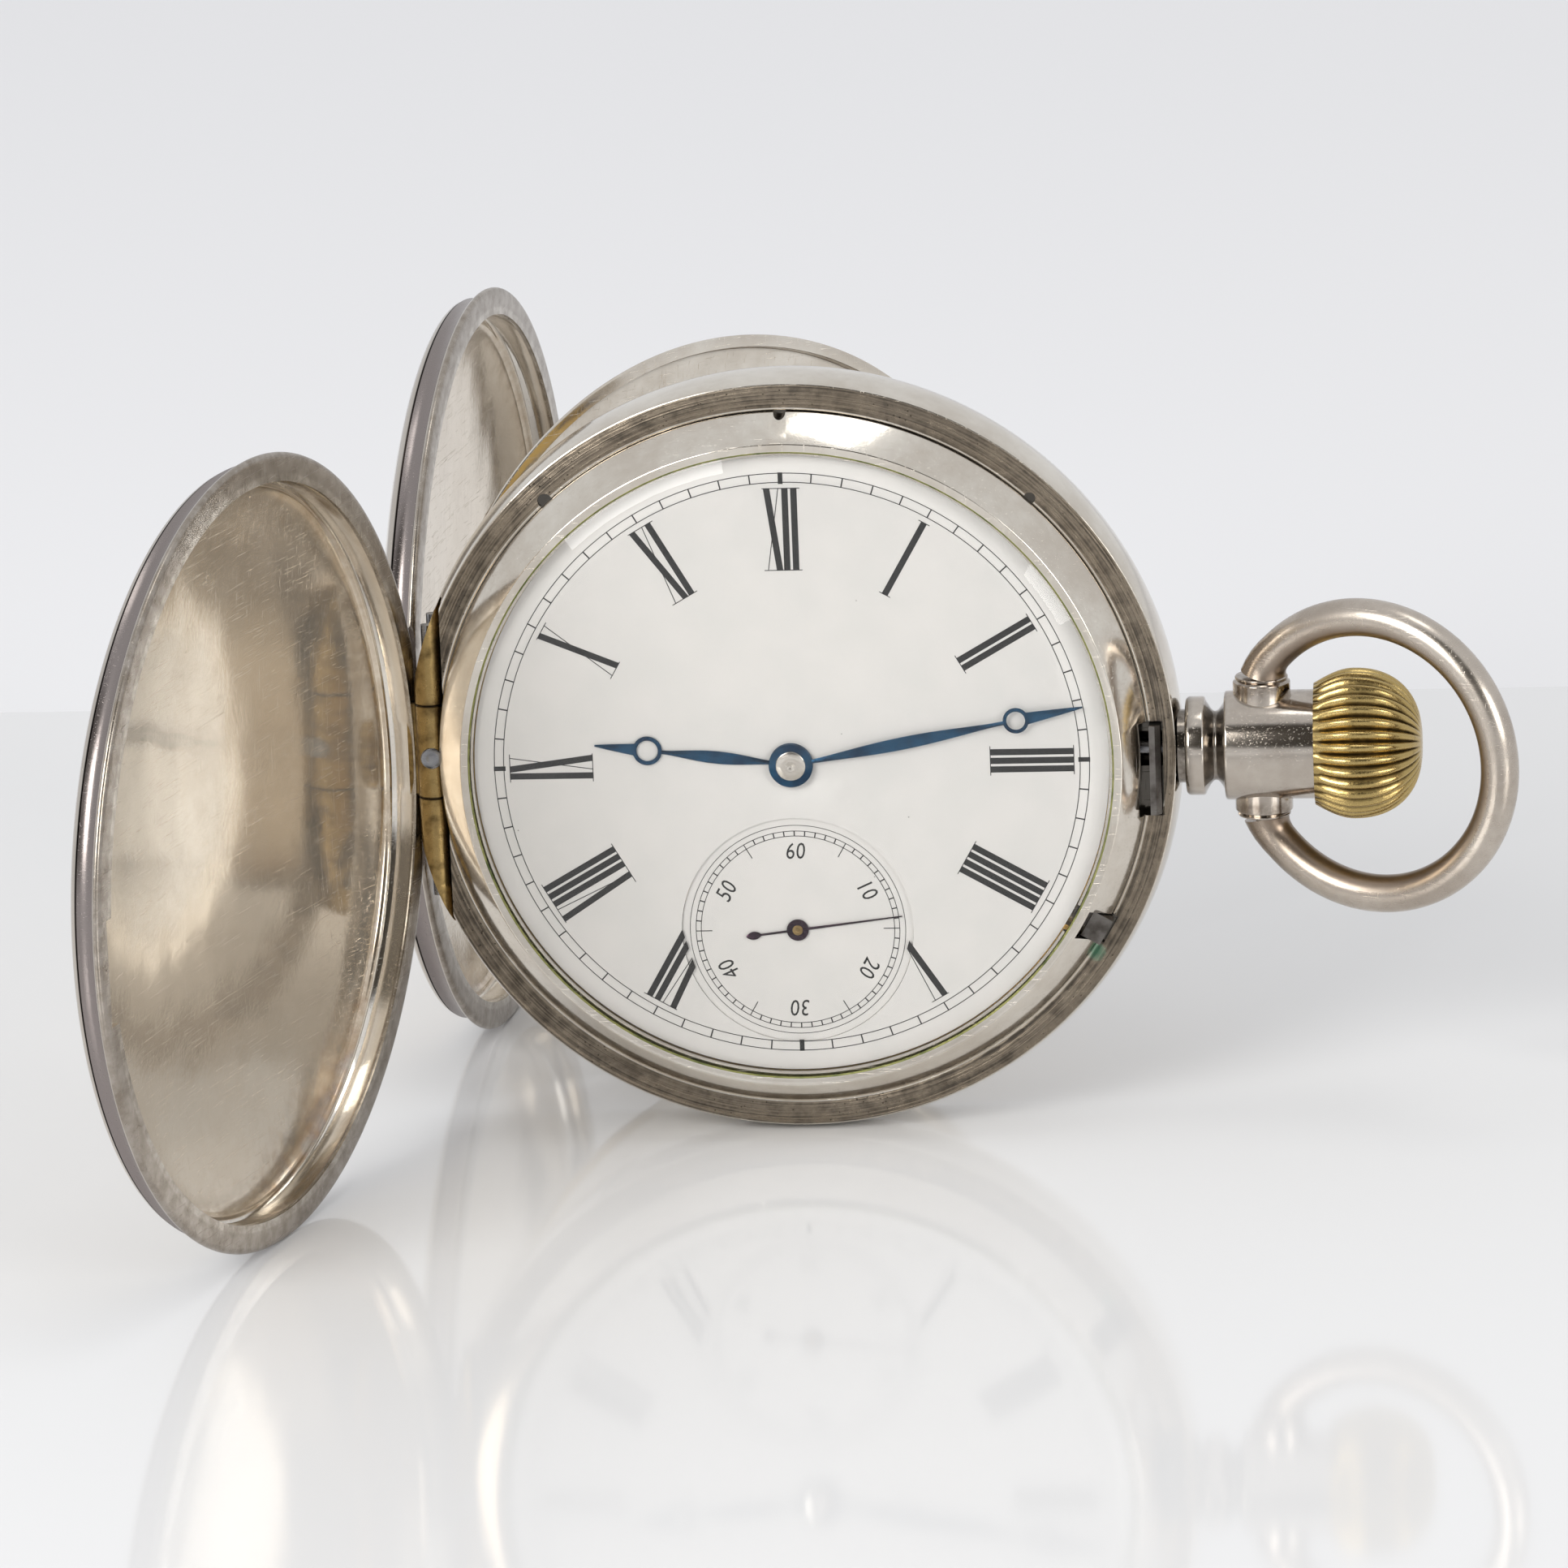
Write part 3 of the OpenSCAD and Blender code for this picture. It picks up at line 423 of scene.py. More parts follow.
class Shader:
    """A small builder for one node material, with coordinates in the piece's own millimetres."""

    def __init__(self, name: str, at: Matrix = UPRIGHT) -> None:
        """Start a material.

        Args:
            name: The material's name.
            at: Frame whose millimetres the patterns are measured in.
        """
        self.material = bpy.data.materials.new(name)
        self.material.use_nodes = True
        self.tree = self.material.node_tree
        self.tree.nodes.clear()
        place, turn, _ = at.decompose()
        coords = self.add("ShaderNodeTexCoord")
        self.point = self.add(
            "ShaderNodeMapping",
            {
                "Vector": coords.outputs["Object"],
                "Location": place,
                "Rotation": turn.to_euler(),
                "Scale": (MM, MM, MM),
            },
            vector_type="TEXTURE",
        ).outputs[0]
        split = self.add("ShaderNodeSeparateXYZ", {0: self.point})
        self.x, self.y, self.z = split.outputs
        squares = self.plus(self.mul(self.x, self.x), self.mul(self.y, self.y))
        self.r = self.math("SQRT", squares)
        self.angle = self.math("ARCTAN2", self.y, self.x)

    def add(self, kind: str, inputs: dict[Any, Any] | None = None, **settings: Any) -> bpy.types.Node:
        """Add a node with its settings, and set or link its inputs.

        Args:
            kind: The node's type.
            inputs: Values or sockets for its inputs, by name or index.
            settings: Attributes of the node.

        Returns:
            The node.
        """
        node = self.tree.nodes.new(kind)
        for key, value in settings.items():
            setattr(node, key, value)
        for key, value in (inputs or {}).items():
            if isinstance(value, Socket):
                self.tree.links.new(value, node.inputs[key])
            else:
                node.inputs[key].default_value = value
        return node

    def math(self, operation: str, a: Any, b: Any = 0.0) -> Socket:
        """Combine two numbers.

        Args:
            operation: What is done.
            a: First number.
            b: Second number.

        Returns:
            The result.
        """
        return self.add("ShaderNodeMath", {0: a, 1: b}, operation=operation).outputs[0]

    def mul(self, a: Any, b: Any) -> Socket:
        """Multiply two numbers.

        Args:
            a: First number.
            b: Second number.

        Returns:
            The product.
        """
        return self.math("MULTIPLY", a, b)

    def plus(self, a: Any, b: Any) -> Socket:
        """Add two numbers.

        Args:
            a: First number.
            b: Second number.

        Returns:
            The sum.
        """
        return self.math("ADD", a, b)

    def minus(self, a: Any, b: Any) -> Socket:
        """Take the second number from the first.

        Args:
            a: First number.
            b: Second number.

        Returns:
            The difference.
        """
        return self.math("SUBTRACT", a, b)

    def ramp(
        self, value: Any, low: float, high: float, out_low: float = 0.0, out_high: float = 1.0
    ) -> Socket:
        """Map a value smoothly from one span to another, held at both ends.

        Args:
            value: The value.
            low: Start of the first span.
            high: End of the first span.
            out_low: Start of the second span.
            out_high: End of the second span.

        Returns:
            The mapped value.
        """
        inputs = {"Value": value, "From Min": low, "From Max": high, "To Min": out_low, "To Max": out_high}
        return self.add("ShaderNodeMapRange", inputs, interpolation_type="SMOOTHSTEP").outputs["Result"]

    def band(self, value: Any, low: float, high: float, soft: float) -> Socket:
        """Make a mask that is one between two values.

        Args:
            value: The value.
            low: Lower end.
            high: Upper end.
            soft: Half the width of its soft edges.

        Returns:
            The mask.
        """
        rise = self.ramp(value, low - soft, low + soft)
        fall = self.ramp(value, high - soft, high + soft, 1.0, 0.0)
        return self.mul(rise, fall)

    def mix(self, factor: Any, a: Any, b: Any) -> Socket:
        """Blend two colours.

        Args:
            factor: Share of the second colour.
            a: First colour.
            b: Second colour.

        Returns:
            The blended colour.
        """
        node = self.add("ShaderNodeMix", data_type="RGBA", clamp_factor=True)
        for key, value in ((0, factor), (6, a), (7, b)):
            if isinstance(value, Socket):
                self.tree.links.new(value, node.inputs[key])
            else:
                node.inputs[key].default_value = value
        return node.outputs[2]

    def noise(
        self, scale: float, detail: float = 3.0, vector: Socket | None = None, rough: float = 0.55
    ) -> Socket:
        """Read noise whose features are about 1/scale millimetres wide.

        Args:
            scale: Features in a millimetre.
            detail: Octaves.
            vector: Coordinates, if not the plain ones.
            rough: Weight of the fine octaves.

        Returns:
            The noise.
        """
        inputs = {"Vector": vector or self.point, "Scale": scale, "Detail": detail, "Roughness": rough}
        return self.add("ShaderNodeTexNoise", inputs).outputs["Fac"]

    def stretched(self, scale: tuple[float, float, float], turn: float = 0.0) -> Socket:
        """Stretch the coordinates, for scratches and brushing.

        Args:
            scale: Stretch along each axis.
            turn: Turn in radians.

        Returns:
            The coordinates.
        """
        inputs = {"Vector": self.point, "Rotation": (0.0, turn * 0.4, turn), "Scale": scale}
        return self.add("ShaderNodeMapping", inputs).outputs[0]

    def polar(self, radial: float, around: float) -> Socket:
        """Coordinates that run round the axis, for turning marks.

        Args:
            radial: Features in a millimetre outward.
            around: Features in a radian.

        Returns:
            The coordinates.
        """
        inputs = {0: self.mul(self.r, radial), 1: self.mul(self.angle, around), 2: self.z}
        return self.add("ShaderNodeCombineXYZ", inputs).outputs[0]

    def scratches(self) -> Socket:
        """Fine crossing hairlines, one where there is a scratch.

        Returns:
            The mask.
        """
        first = self.ramp(self.noise(1.0, 2.0, self.stretched((0.25, 16.0, 5.0), 0.5)), 0.66, 0.72)
        second = self.ramp(self.noise(1.0, 2.0, self.stretched((14.0, 0.22, 6.0), -0.7)), 0.67, 0.73)
        return self.math("MAXIMUM", first, second)

    def bump(self, height: Socket, depth: float, normal: Socket | None = None) -> Socket:
        """Turn a height into a normal, with the depth in millimetres.

        Args:
            height: The height.
            depth: Its depth.
            normal: A normal to build on.

        Returns:
            The normal.
        """
        inputs: dict[Any, Any] = {"Height": height, "Strength": 1.0, "Distance": depth * MM}
        if normal is not None:
            inputs["Normal"] = normal
        return self.add("ShaderNodeBump", inputs).outputs[0]

    def surface(self, **inputs: Any) -> bpy.types.Material:
        """Close the material with the main shader.

        Args:
            inputs: Inputs of the shader, spaces written as underscores.

        Returns:
            The finished material.
        """
        shader = self.add("ShaderNodeBsdfPrincipled", {k.replace("_", " "): v for k, v in inputs.items()})
        self.add("ShaderNodeOutputMaterial", {"Surface": shader.outputs[0]})
        return self.material


class Zone(Enum):
    """Kinds of silver surface on the case."""

    SMOOTH = "smooth"
    SEAT = "seat"
    COVER = "cover"
    NECK = "neck"
    BOW = "bow"


@dataclass(frozen=True)
class Silver:
    """Coin silver, spun or pressed and hand burnished, then dulled by handling.

    It gives the eye a warm white mirror, veiled by a thin brown sulphide film that gathers at edges.
    """

    clean: str = "#E4DED4"
    film: str = "#AD9F8D"
    dark: str = "#40382F"
    roughness: float = 0.13
    film_share: float = 0.45
    dents: float = 0.12
    zone: Zone = Zone.SMOOTH

    def make(self, name: str, at: Matrix = UPRIGHT) -> bpy.types.Material:
        """Make the material in a frame.

        Args:
            name: Its name.
            at: The frame it is drawn in.

        Returns:
            The finished material.
        """
        s = Shader(name, at)
        haze = s.noise(0.11, 4.0)
        blotch = s.noise(0.8, 6.0, rough=0.65)
        lines = s.scratches()
        veil = s.ramp(s.plus(haze, s.mul(blotch, 0.35)), 0.45, 0.9)
        base = s.mix(s.mul(veil, self.film_share), colour(self.clean), colour(self.film))
        rough = s.ramp(blotch, 0.3, 0.8, self.roughness * 0.9, self.roughness * 1.2)
        rough = s.plus(rough, s.mul(lines, 0.06))
        dents = s.bump(s.noise(0.14, 1.0), self.dents)
        normal = s.bump(s.minus(s.noise(2.2, 2.0), lines), 0.0035, dents)
        if self.zone is Zone.SEAT:
            base, rough, normal = self._seat(s, base, rough, normal, blotch, haze)
        metal: Socket | float = 1.0
        if self.zone is Zone.COVER:
            base, rough = self._cover(s, base, rough, blotch)
            # Painted reflection: across the dome (radius under 24.3 mm) the silver is made part non-metal
            # and mixed toward light tan, which brightens it in place of a bright reflection.
            inside = s.ramp(s.r, 24.25, 24.4, 1.0, 0.0)
            metal = s.minus(1.0, s.mul(inside, s.ramp(haze, 0.3, 0.7, 0.16, 0.26)))
            base = s.mix(s.mul(inside, 0.35), base, colour("#D8BF98"))
        if self.zone is Zone.NECK:
            grime = s.plus(s.ramp(s.z, 26.5, 27.3, 1.0, 0.0), s.band(s.z, 28.0, 29.3, 0.25))
            base = s.mix(s.mul(grime, s.ramp(blotch, 0.3, 0.7, 0.45, 0.85)), base, colour(self.dark))
            boss = s.mul(s.ramp(s.math("ABSOLUTE", s.y), 3.4, 4.0), s.ramp(blotch, 0.35, 0.65, 0.15, 0.7))
            base = s.mix(boss, base, colour("#6B5D50"))
        if self.zone is Zone.BOW:
            # Painted shade: the inner side of the bow's ring is darkened to brown; the feet beside the
            # bosses get brown patina in the same colour.
            ring = s.minus(s.x, 8.1)
            span = s.math("SQRT", s.plus(s.mul(ring, ring), s.mul(s.y, s.y)))
            inner = s.ramp(s.plus(span, s.mul(blotch, 0.8)), 9.0, 10.1, 0.75, 0.0)
            foot = s.ramp(s.plus(s.x, s.mul(blotch, 2.0)), 0.8, 3.4, 0.6, 0.0)
            base = s.mix(s.math("MAXIMUM", inner, foot), base, colour("#7B6856"))
            rough = s.plus(rough, s.mul(inner, 0.1))
        return s.surface(Base_Color=base, Metallic=metal, Roughness=rough, Normal=normal)

    def _seat(
        self, s: Shader, base: Socket, rough: Socket, normal: Socket, blotch: Socket, haze: Socket
    ) -> tuple[Socket, ...]:
        """Darken and pit the flat seat that the front cover shuts on, and paint near-black shade into the
        gaps and pockets below it.

        Args:
            s: The material being built.
            base: Colour so far.
            rough: Roughness so far.
            normal: Normal so far.
            blotch: Noise of small patches.
            haze: Noise of wide patches.

        Returns:
            The colour, roughness and normal.
        """
        seat = s.mul(s.band(s.r, 24.35, 25.92, 0.06), s.ramp(s.z, -1.62, -1.52))
        rings = s.noise(1.0, 3.0, s.polar(9.0, 1.2))
        crust = s.ramp(s.plus(s.mul(blotch, 0.45), s.mul(rings, 0.6)), 0.38, 0.68)
        cells = s.add(
            "ShaderNodeTexVoronoi", {"Vector": s.point, "Scale": 2.6, "Randomness": 1.0}
        ).outputs["Distance"]
        pits = s.mul(s.ramp(s.plus(cells, s.mul(haze, 0.3)), 0.2, 0.3, 1.0, 0.0), seat)
        tint = s.mix(crust, colour("#877A69"), colour("#352E27"))
        base = s.mix(s.mul(seat, 0.93), base, tint)
        base = s.mix(s.mul(pits, 0.8), base, colour("#2A2521"))
        # Painted shade: the gap under the bezel, the catch pocket and the hinge trough are painted near
        # black.
        gap = s.mul(s.band(s.r, 23.2, 25.3, 0.03), s.band(s.z, -5.0, -1.6, 0.04))
        base = s.mix(s.mul(gap, 0.88), base, colour("#231F1B"))
        far = s.plus(s.math("POWER", s.minus(s.x, 20.1), 2.0), s.math("POWER", s.plus(s.y, 13.85), 2.0))
        green = s.ramp(s.plus(far, s.mul(blotch, 1.6)), 0.8, 1.5, 1.0, 0.0)
        base = s.mix(s.mul(green, 0.8), base, colour("#6E9C84"))
        rough = s.math("MAXIMUM", rough, s.mul(green, 0.7))
        rough = s.plus(rough, s.mul(seat, s.ramp(crust, 0.0, 1.0, 0.12, 0.42)))
        depth = s.minus(s.mul(s.mul(crust, seat), 0.4), pits)
        return base, rough, s.bump(depth, 0.05, normal)

    def _cover(self, s: Shader, base: Socket, rough: Socket, blotch: Socket) -> tuple[Socket, ...]:
        """Lay the rim, the outer groove and the coloured tarnish on a pressed cover.

        Args:
            s: The material being built.
            base: Colour so far.
            rough: Roughness so far.
            blotch: Noise of small patches.

        Returns:
            The colour and roughness.
        """
        height = s.math("ABSOLUTE", s.z)
        rim = s.mul(s.ramp(s.r, 24.2, 24.4), s.ramp(height, 0.3, 0.5, 1.0, 0.0))
        outside = s.ramp(s.r, 24.9, 25.1)
        base = s.mix(s.mul(outside, 0.5), base, colour("#978D86"))
        base = s.mix(s.mul(rim, s.ramp(blotch, 0.3, 0.7, 0.4, 0.85)), base, colour("#82776A"))
        groove = s.mul(s.ramp(s.r, 24.9, 25.1), s.band(height, 0.66, 1.98, 0.06))
        base = s.mix(s.mul(groove, 0.85), base, colour("#847B7A"))
        seams = s.plus(s.band(height, 0.52, 0.66, 0.05), s.band(height, 1.9, 2.08, 0.05))
        base = s.mix(s.mul(s.mul(seams, s.ramp(s.r, 24.9, 25.1)), 0.85), base, colour("#3A332E"))
        inside = s.ramp(s.r, 24.25, 24.4, 1.0, 0.0)
        edge = s.mul(inside, s.ramp(s.plus(s.r, s.mul(blotch, 5.0)), 24.6, 28.6))
        base = s.mix(s.mul(edge, 0.7), base, colour("#7C6650"))
        away = s.plus(s.mul(s.x, -0.45), s.mul(s.y, -0.89))
        stain = s.mul(inside, s.ramp(s.plus(away, s.mul(blotch, 6.0)), 22.5, 28.5))
        cycle = s.math("FRACT", s.plus(s.mul(s.noise(0.35, 3.0), 3.0), s.mul(s.r, 0.12)))
        tints = s.add("ShaderNodeValToRGB", {0: cycle})
        stops = ((0.0, "#A8927C"), (0.3, "#8F6A52"), (0.55, "#6E5C70"), (0.75, "#6C7A8C"), (1.0, "#A8927C"))
        elements = tints.color_ramp.elements
        for place, code in stops[1:-1]:
            elements.new(place).color = colour(code)
        elements[0].color = colour(stops[0][1])
        elements[-1].color = colour(stops[-1][1])
        base = s.mix(s.mul(stain, 0.75), base, tints.outputs[0])
        rough = s.plus(rough, s.mul(s.math("MAXIMUM", rim, groove), 0.16))
        return base, s.plus(rough, s.mul(stain, 0.08))


@dataclass(frozen=True)
class Brass:
    """Brass, turned or milled, then fire gilt or left bare.

    It gives the eye a soft yellow sheen with brown grime where fingers never reach.
    """

    bright: str = "#D9B566"
    grime: str = "#7A5A2C"
    roughness: float = 0.3
    grain: float = 14.0
    grime_share: float = 0.5
    seams: tuple[float, ...] = ()

    def make(self, name: str, at: Matrix = UPRIGHT) -> bpy.types.Material:
        """Make the material in a frame.

        Args:
            name: Its name.
            at: The frame it is drawn in.

        Returns:
            The finished material.
        """
        s = Shader(name, at)
        patch = s.noise(0.8, 5.0)
        grain = s.noise(self.grain, 2.0)
        dirt = s.mul(s.ramp(patch, 0.42, 0.75), self.grime_share)
        base = s.mix(dirt, colour(self.bright), colour(self.grime))
        for seam in self.seams:
            base = s.mix(s.mul(s.band(s.y, seam - 0.1, seam + 0.1, 0.05), 0.9), base, colour("#1F1812"))
        rough = s.plus(
            s.ramp(grain, 0.2, 0.8, self.roughness * 0.8, self.roughness * 1.25), s.mul(dirt, 0.2)
        )
        return s.surface(Base_Color=base, Metallic=1.0, Roughness=rough, Normal=s.bump(grain, 0.01))


@dataclass(frozen=True)
class CrownGilt:
    """Brass crown, fluted with a cutter and gilt; the ridges are worn bright and the flutes hold grime."""

    ribs: int
    bright: str = "#B8A069"
    grime: str = "#3E3019"

    def make(self, name: str, at: Matrix) -> bpy.types.Material:
        """Make the material in the stem's frame.

        Args:
            name: Its name.
            at: The frame it is drawn in.

        Returns:
            The finished material.
        """
        s = Shader(name, at)
        wave = s.math("COSINE", s.mul(s.angle, float(self.ribs)))
        patch = s.noise(1.3, 5.0)
        dirt = s.ramp(s.plus(wave, s.mul(patch, 0.9)), -0.75, 0.35, 0.95, 0.0)
        side = s.ramp(s.r, 1.6, 2.6)
        dirt = s.mul(dirt, side)
        base = s.mix(
            s.math("MAXIMUM", dirt, s.ramp(patch, 0.55, 0.8, 0.0, 0.35)), colour(self.bright),
            colour(self.grime)
        )
        rough = s.plus(s.ramp(s.noise(9.0, 3.0), 0.3, 0.7, 0.2, 0.32), s.mul(dirt, 0.25))
        return s.surface(Base_Color=base, Metallic=1.0, Roughness=rough, Normal=s.bump(patch, 0.03))


@dataclass(frozen=True)
class Steel:
    """Carbon steel, ground and polished, tempered to a colour where it is a hand or a screw.

    It gives the eye a hard narrow highlight over a fine grain that runs one way.
    """

    tone: str = "#8E8E90"
    shade: str = "#5F5E60"
    roughness: float = 0.22
    around: bool = False

    def make(self, name: str, at: Matrix = UPRIGHT) -> bpy.types.Material:
        """Make the material in a frame.

        Args:
            name: Its name.
            at: The frame it is drawn in.

        Returns:
            The finished material.
        """
        s = Shader(name, at)
        grain = s.noise(1.0, 3.0, s.polar(22.0, 1.0) if self.around else s.stretched((0.8, 26.0, 26.0)))
        patch = s.noise(0.7, 4.0)
        base = s.mix(s.ramp(patch, 0.35, 0.75), colour(self.tone), colour(self.shade))
        rough = s.ramp(
            s.plus(s.mul(grain, 0.6), s.mul(patch, 0.4)), 0.3, 0.7, self.roughness * 0.7,
            self.roughness * 1.4
        )
        return s.surface(Base_Color=base, Metallic=1.0, Roughness=rough, Normal=s.bump(grain, 0.006))


@dataclass(frozen=True)
class Enamel:
    """Vitreous enamel, fired white on copper and stoned flat.

    It gives the eye a milky white under a clear gloss, with the odd dark speck of the firing.
    """

    white: str = "#EFEDEA"
    cool: str = "#EAE9E6"

    def make(self, name: str) -> bpy.types.Material:
        """Make the material in the watch's frame.

        Args:
            name: Its name.

        Returns:
            The finished material.
        """
        s = Shader(name)
        milk = s.mix(s.ramp(s.noise(0.25, 4.0), 0.3, 0.7), colour(self.white), colour(self.cool))
        specks = s.add("ShaderNodeTexVoronoi", {"Vector": s.point, "Scale": 0.55}).outputs["Distance"]
        rare = s.mul(s.ramp(specks, 0.02, 0.035, 1.0, 0.0), s.ramp(s.noise(0.3, 1.0), 0.55, 0.6))
        base = s.mix(s.mul(rare, 0.7), milk, colour("#5B5650"))
        rough = s.ramp(s.noise(2.5, 3.0), 0.3, 0.7, 0.08, 0.14)
        return s.surface(Base_Color=base, Roughness=rough, IOR=1.52, Normal=s.bump(s.noise(0.5, 2.0), 0.01))


@dataclass(frozen=True)
class Ink:
    """Black vitreous paint, fired into the dial; it gives the eye a slightly grey, even black."""

    black: str = "#161615"
    thin: str = "#3A3937"

    def make(self, name: str) -> bpy.types.Material:
        """Make the material in the watch's frame.

        Args:
            name: Its name.

        Returns:
            The finished material.
        """
        s = Shader(name)
        worn = s.ramp(s.noise(3.5, 4.0), 0.5, 0.8)
        base = s.mix(s.mul(worn, 0.5), colour(self.black), colour(self.thin))
        return s.surface(Base_Color=base, Roughness=s.ramp(worn, 0.0, 1.0, 0.28, 0.42), IOR=1.5)


@dataclass(frozen=True)
class Crystal:
    """Mineral glass, ground flat; a clear sheet with a faint gloss and a few hairlines."""

    def make(self, name: str) -> bpy.types.Material:
        """Make the material: mostly clear, with a mirror that grows toward grazing view.

        Args:
            name: Its name.

        Returns:
            The finished material.
        """
        s = Shader(name)
        lines = s.scratches()
        clear = s.add("ShaderNodeBsdfTransparent", {"Color": (0.99, 0.988, 0.986, 1.0)})
        gloss = s.add(
            "ShaderNodeBsdfGlossy",
            {"Color": (1.0, 1.0, 1.0, 1.0), "Roughness": s.ramp(lines, 0.0, 1.0, 0.02, 0.1)}
        )
        fresnel = s.add("ShaderNodeFresnel", {"IOR": 1.5}).outputs[0]
        amount = s.mul(fresnel, 0.6)
        both = s.add("ShaderNodeMixShader", {0: amount, 1: clear.outputs[0], 2: gloss.outputs[0]})
        s.add("ShaderNodeOutputMaterial", {"Surface": both.outputs[0]})
        return s.material


@dataclass(frozen=True)
class Ruby:
    """Synthetic or natural ruby, turned and polished; a deep pink-red bead with a sharp highlight."""

    def make(self, name: str) -> bpy.types.Material:
        """Make the material in the watch's frame.

        Args:
            name: Its name.

        Returns:
            The finished material.
        """
        s = Shader(name)
        base = s.mix(s.ramp(s.noise(3.0, 3.0), 0.3, 0.7), colour("#B3173A"), colour("#7C0D28"))
        return s.surface(
            Base_Color=base, Roughness=s.ramp(s.noise(6.0), 0.3, 0.7, 0.04, 0.1), IOR=1.76, Coat_Weight=0.5
        )


# ---------------------------------------------------------------- case


@dataclass
class Case:
    """Band of the case with its two seats, and the bezel pressed in front of the dial."""

    outer_r: float = 26.4
    seat_r: float = 26.0
    front_z: float = -1.5
    back_z: float = -7.1
    inner_r: float = 21.6
    recess_r: float = 24.95
    bezel_r: float = 24.12
    hinge_x: float = -24.75
    hinge_drop: float = 1.2
    knuckle_r: float = 1.05
    hinge_half: float = 11.6
    catch_span: tuple[float, float] = (-4.4, 2.2)
    pin_angle: float = -30.3
    nicks: tuple[tuple[float, float], ...] = ((90.0, 0.42), (131.5, 0.5), (47.0, 0.4))

    def profile(self) -> Profile:
        """Section of the band, with softened edges and the fine step beside the seat.

        Returns:
            The closed outline.
        """
        z0, z1 = self.front_z, self.back_z
        bulge = [
            (
                self.seat_r + (self.outer_r - self.seat_r) * math.sin(math.pi * t) ** 0.8,
                z0 - 0.06 + t * (z1 - z0 + 0.12),
            )
            for t in (i / 40 for i in range(1, 40))
        ]
        front = [(22.6, -0.92), (23.4, -0.92), (23.4, z0 - 0.25), (24.2, z0 - 0.25)]
        step = [
            (24.2, z0 - 0.08), (24.28, z0 - 0.02), (24.42, z0 - 0.02), (24.5, z0), (25.9, z0),
            (25.97, z0 - 0.02)
        ]
        back = [(25.97, z1 + 0.02), (25.9, z1), (self.recess_r + 0.05, z1), (self.recess_r, z1 + 0.05)]
        inside = [(self.recess_r, z1 + 0.6), (self.inner_r, z1 + 0.6), (self.inner_r, -2.0), (22.6, -2.0)]
        return front + step + bulge + back + inside

    def hinge_room(self, axis_z: float, side: int) -> list[bmesh.types.BMesh]:
        """Cutters for the trough of one hinge.

        Args:
            axis_z: Height of the hinge axis.
            side: One toward the dial, minus one away.

        Returns:
            The cutters.
        """
        x, r, half = self.hinge_x, self.knuckle_r, self.hinge_half
        outer, inner = axis_z - side * (r + 0.35), axis_z + side * 3
        return [
            round_bar(r, Vector((x, -half, axis_z)), Vector((x, half, axis_z))),
            round_bar(r + 0.12, Vector((x, -5.6, axis_z)), Vector((x, 4.05, axis_z))),
            block((-28, -half, min(outer, inner)), (x, half, max(outer, inner))),
            block((x - 1, -half, min(axis_z, inner)), (x + r, half, max(axis_z, inner))),
        ]

    def pin_slot(self, low: float) -> bmesh.types.BMesh:
        """Cutter for the slot of the setting pin.

        Args:
            low: Height of its floor.

        Returns:
            The cutter.
        """
        turn = Matrix.Rotation(math.radians(self.pin_angle), 4, "Z")
        return block((20, -1.05, low), (24.6, 1.05, 1.0), turn)

    def build_band(self, silver: bpy.types.Material) -> None:
        """Build the band and cut its hinges, catch pocket, stem hole and slots.

        Args:
            silver: Its silver.
        """
        low, high = self.catch_span
        stem_z = joint("crown_turn")["pos_m"][1] / -MM
        cutters = [
            *self.hinge_room(self.front_z - self.hinge_drop, 1),
            *self.hinge_room(self.back_z + self.hinge_drop, -1),
            round_bar(1.32, Vector((20, 0, stem_z)), Vector((30, 0, stem_z))),
            block((23.42, low, -2.7), (25.1, high, 0)),
            block((-23.72, -0.6, -3.4), (-22.9, 2.8, 0)),
            self.pin_slot(-1.9),
        ]
        for angle, radius in self.nicks[1:]:
            x, y = 24.35 * math.cos(math.radians(angle)), 24.35 * math.sin(math.radians(angle))
            cutters.append(round_bar(radius, Vector((x, y, -1.75)), Vector((x, y, 0)), 20))
        band = carve(lathe(self.profile(), fineness()), cutters)
        piece("case_band", band, "case", silver, replaces=["case_middle"], sharp=28)

    def build_bezel(self, silver: bpy.types.Material, rust: bpy.types.Material) -> None:
        """Build the sloping bezel and the line of verdigris where it meets the glass.

        Args:
            silver: Its silver.
            rust: The green line beside the glass.
        """
        outline = [
            (23.45, -1.7), (self.bezel_r, -1.7), *arc(self.bezel_r - 0.12, -1.38, 0.12, 0, 50, 3),
            *arc(22.36, 0.98, 0.14, 50, 110, 4), (22.06, 1.1), (21.9, 1.08), (21.82, 1.0), (22.04, 0.99),
            (22.04, 0.7), (21.6, 0.7), (21.6, 0.3), (22.5, -0.8), (23.45, -0.8),
        ]
        low, high = self.catch_span
        angle, radius = self.nicks[0]
        x, y = 24.1 * math.cos(math.radians(angle)), 24.1 * math.sin(math.radians(angle))
        cutters = [
            block((23.42, low, -2), (26, high, -0.6)),
            self.pin_slot(-2.0),
            round_bar(radius, Vector((x, y, -3)), Vector((x, y, 2)), 20),
        ]
        ring = carve(lathe(outline, fineness()), cutters)
        piece("bezel_ring", ring, "case", silver, replaces=["bezel"], sharp=28)
        line = [(21.78, 0.99), (21.93, 0.985), (21.95, 1.06), (21.88, 1.09), (21.8, 1.06)]
        piece("verdigris_line", lathe(line, 160), "case", rust)


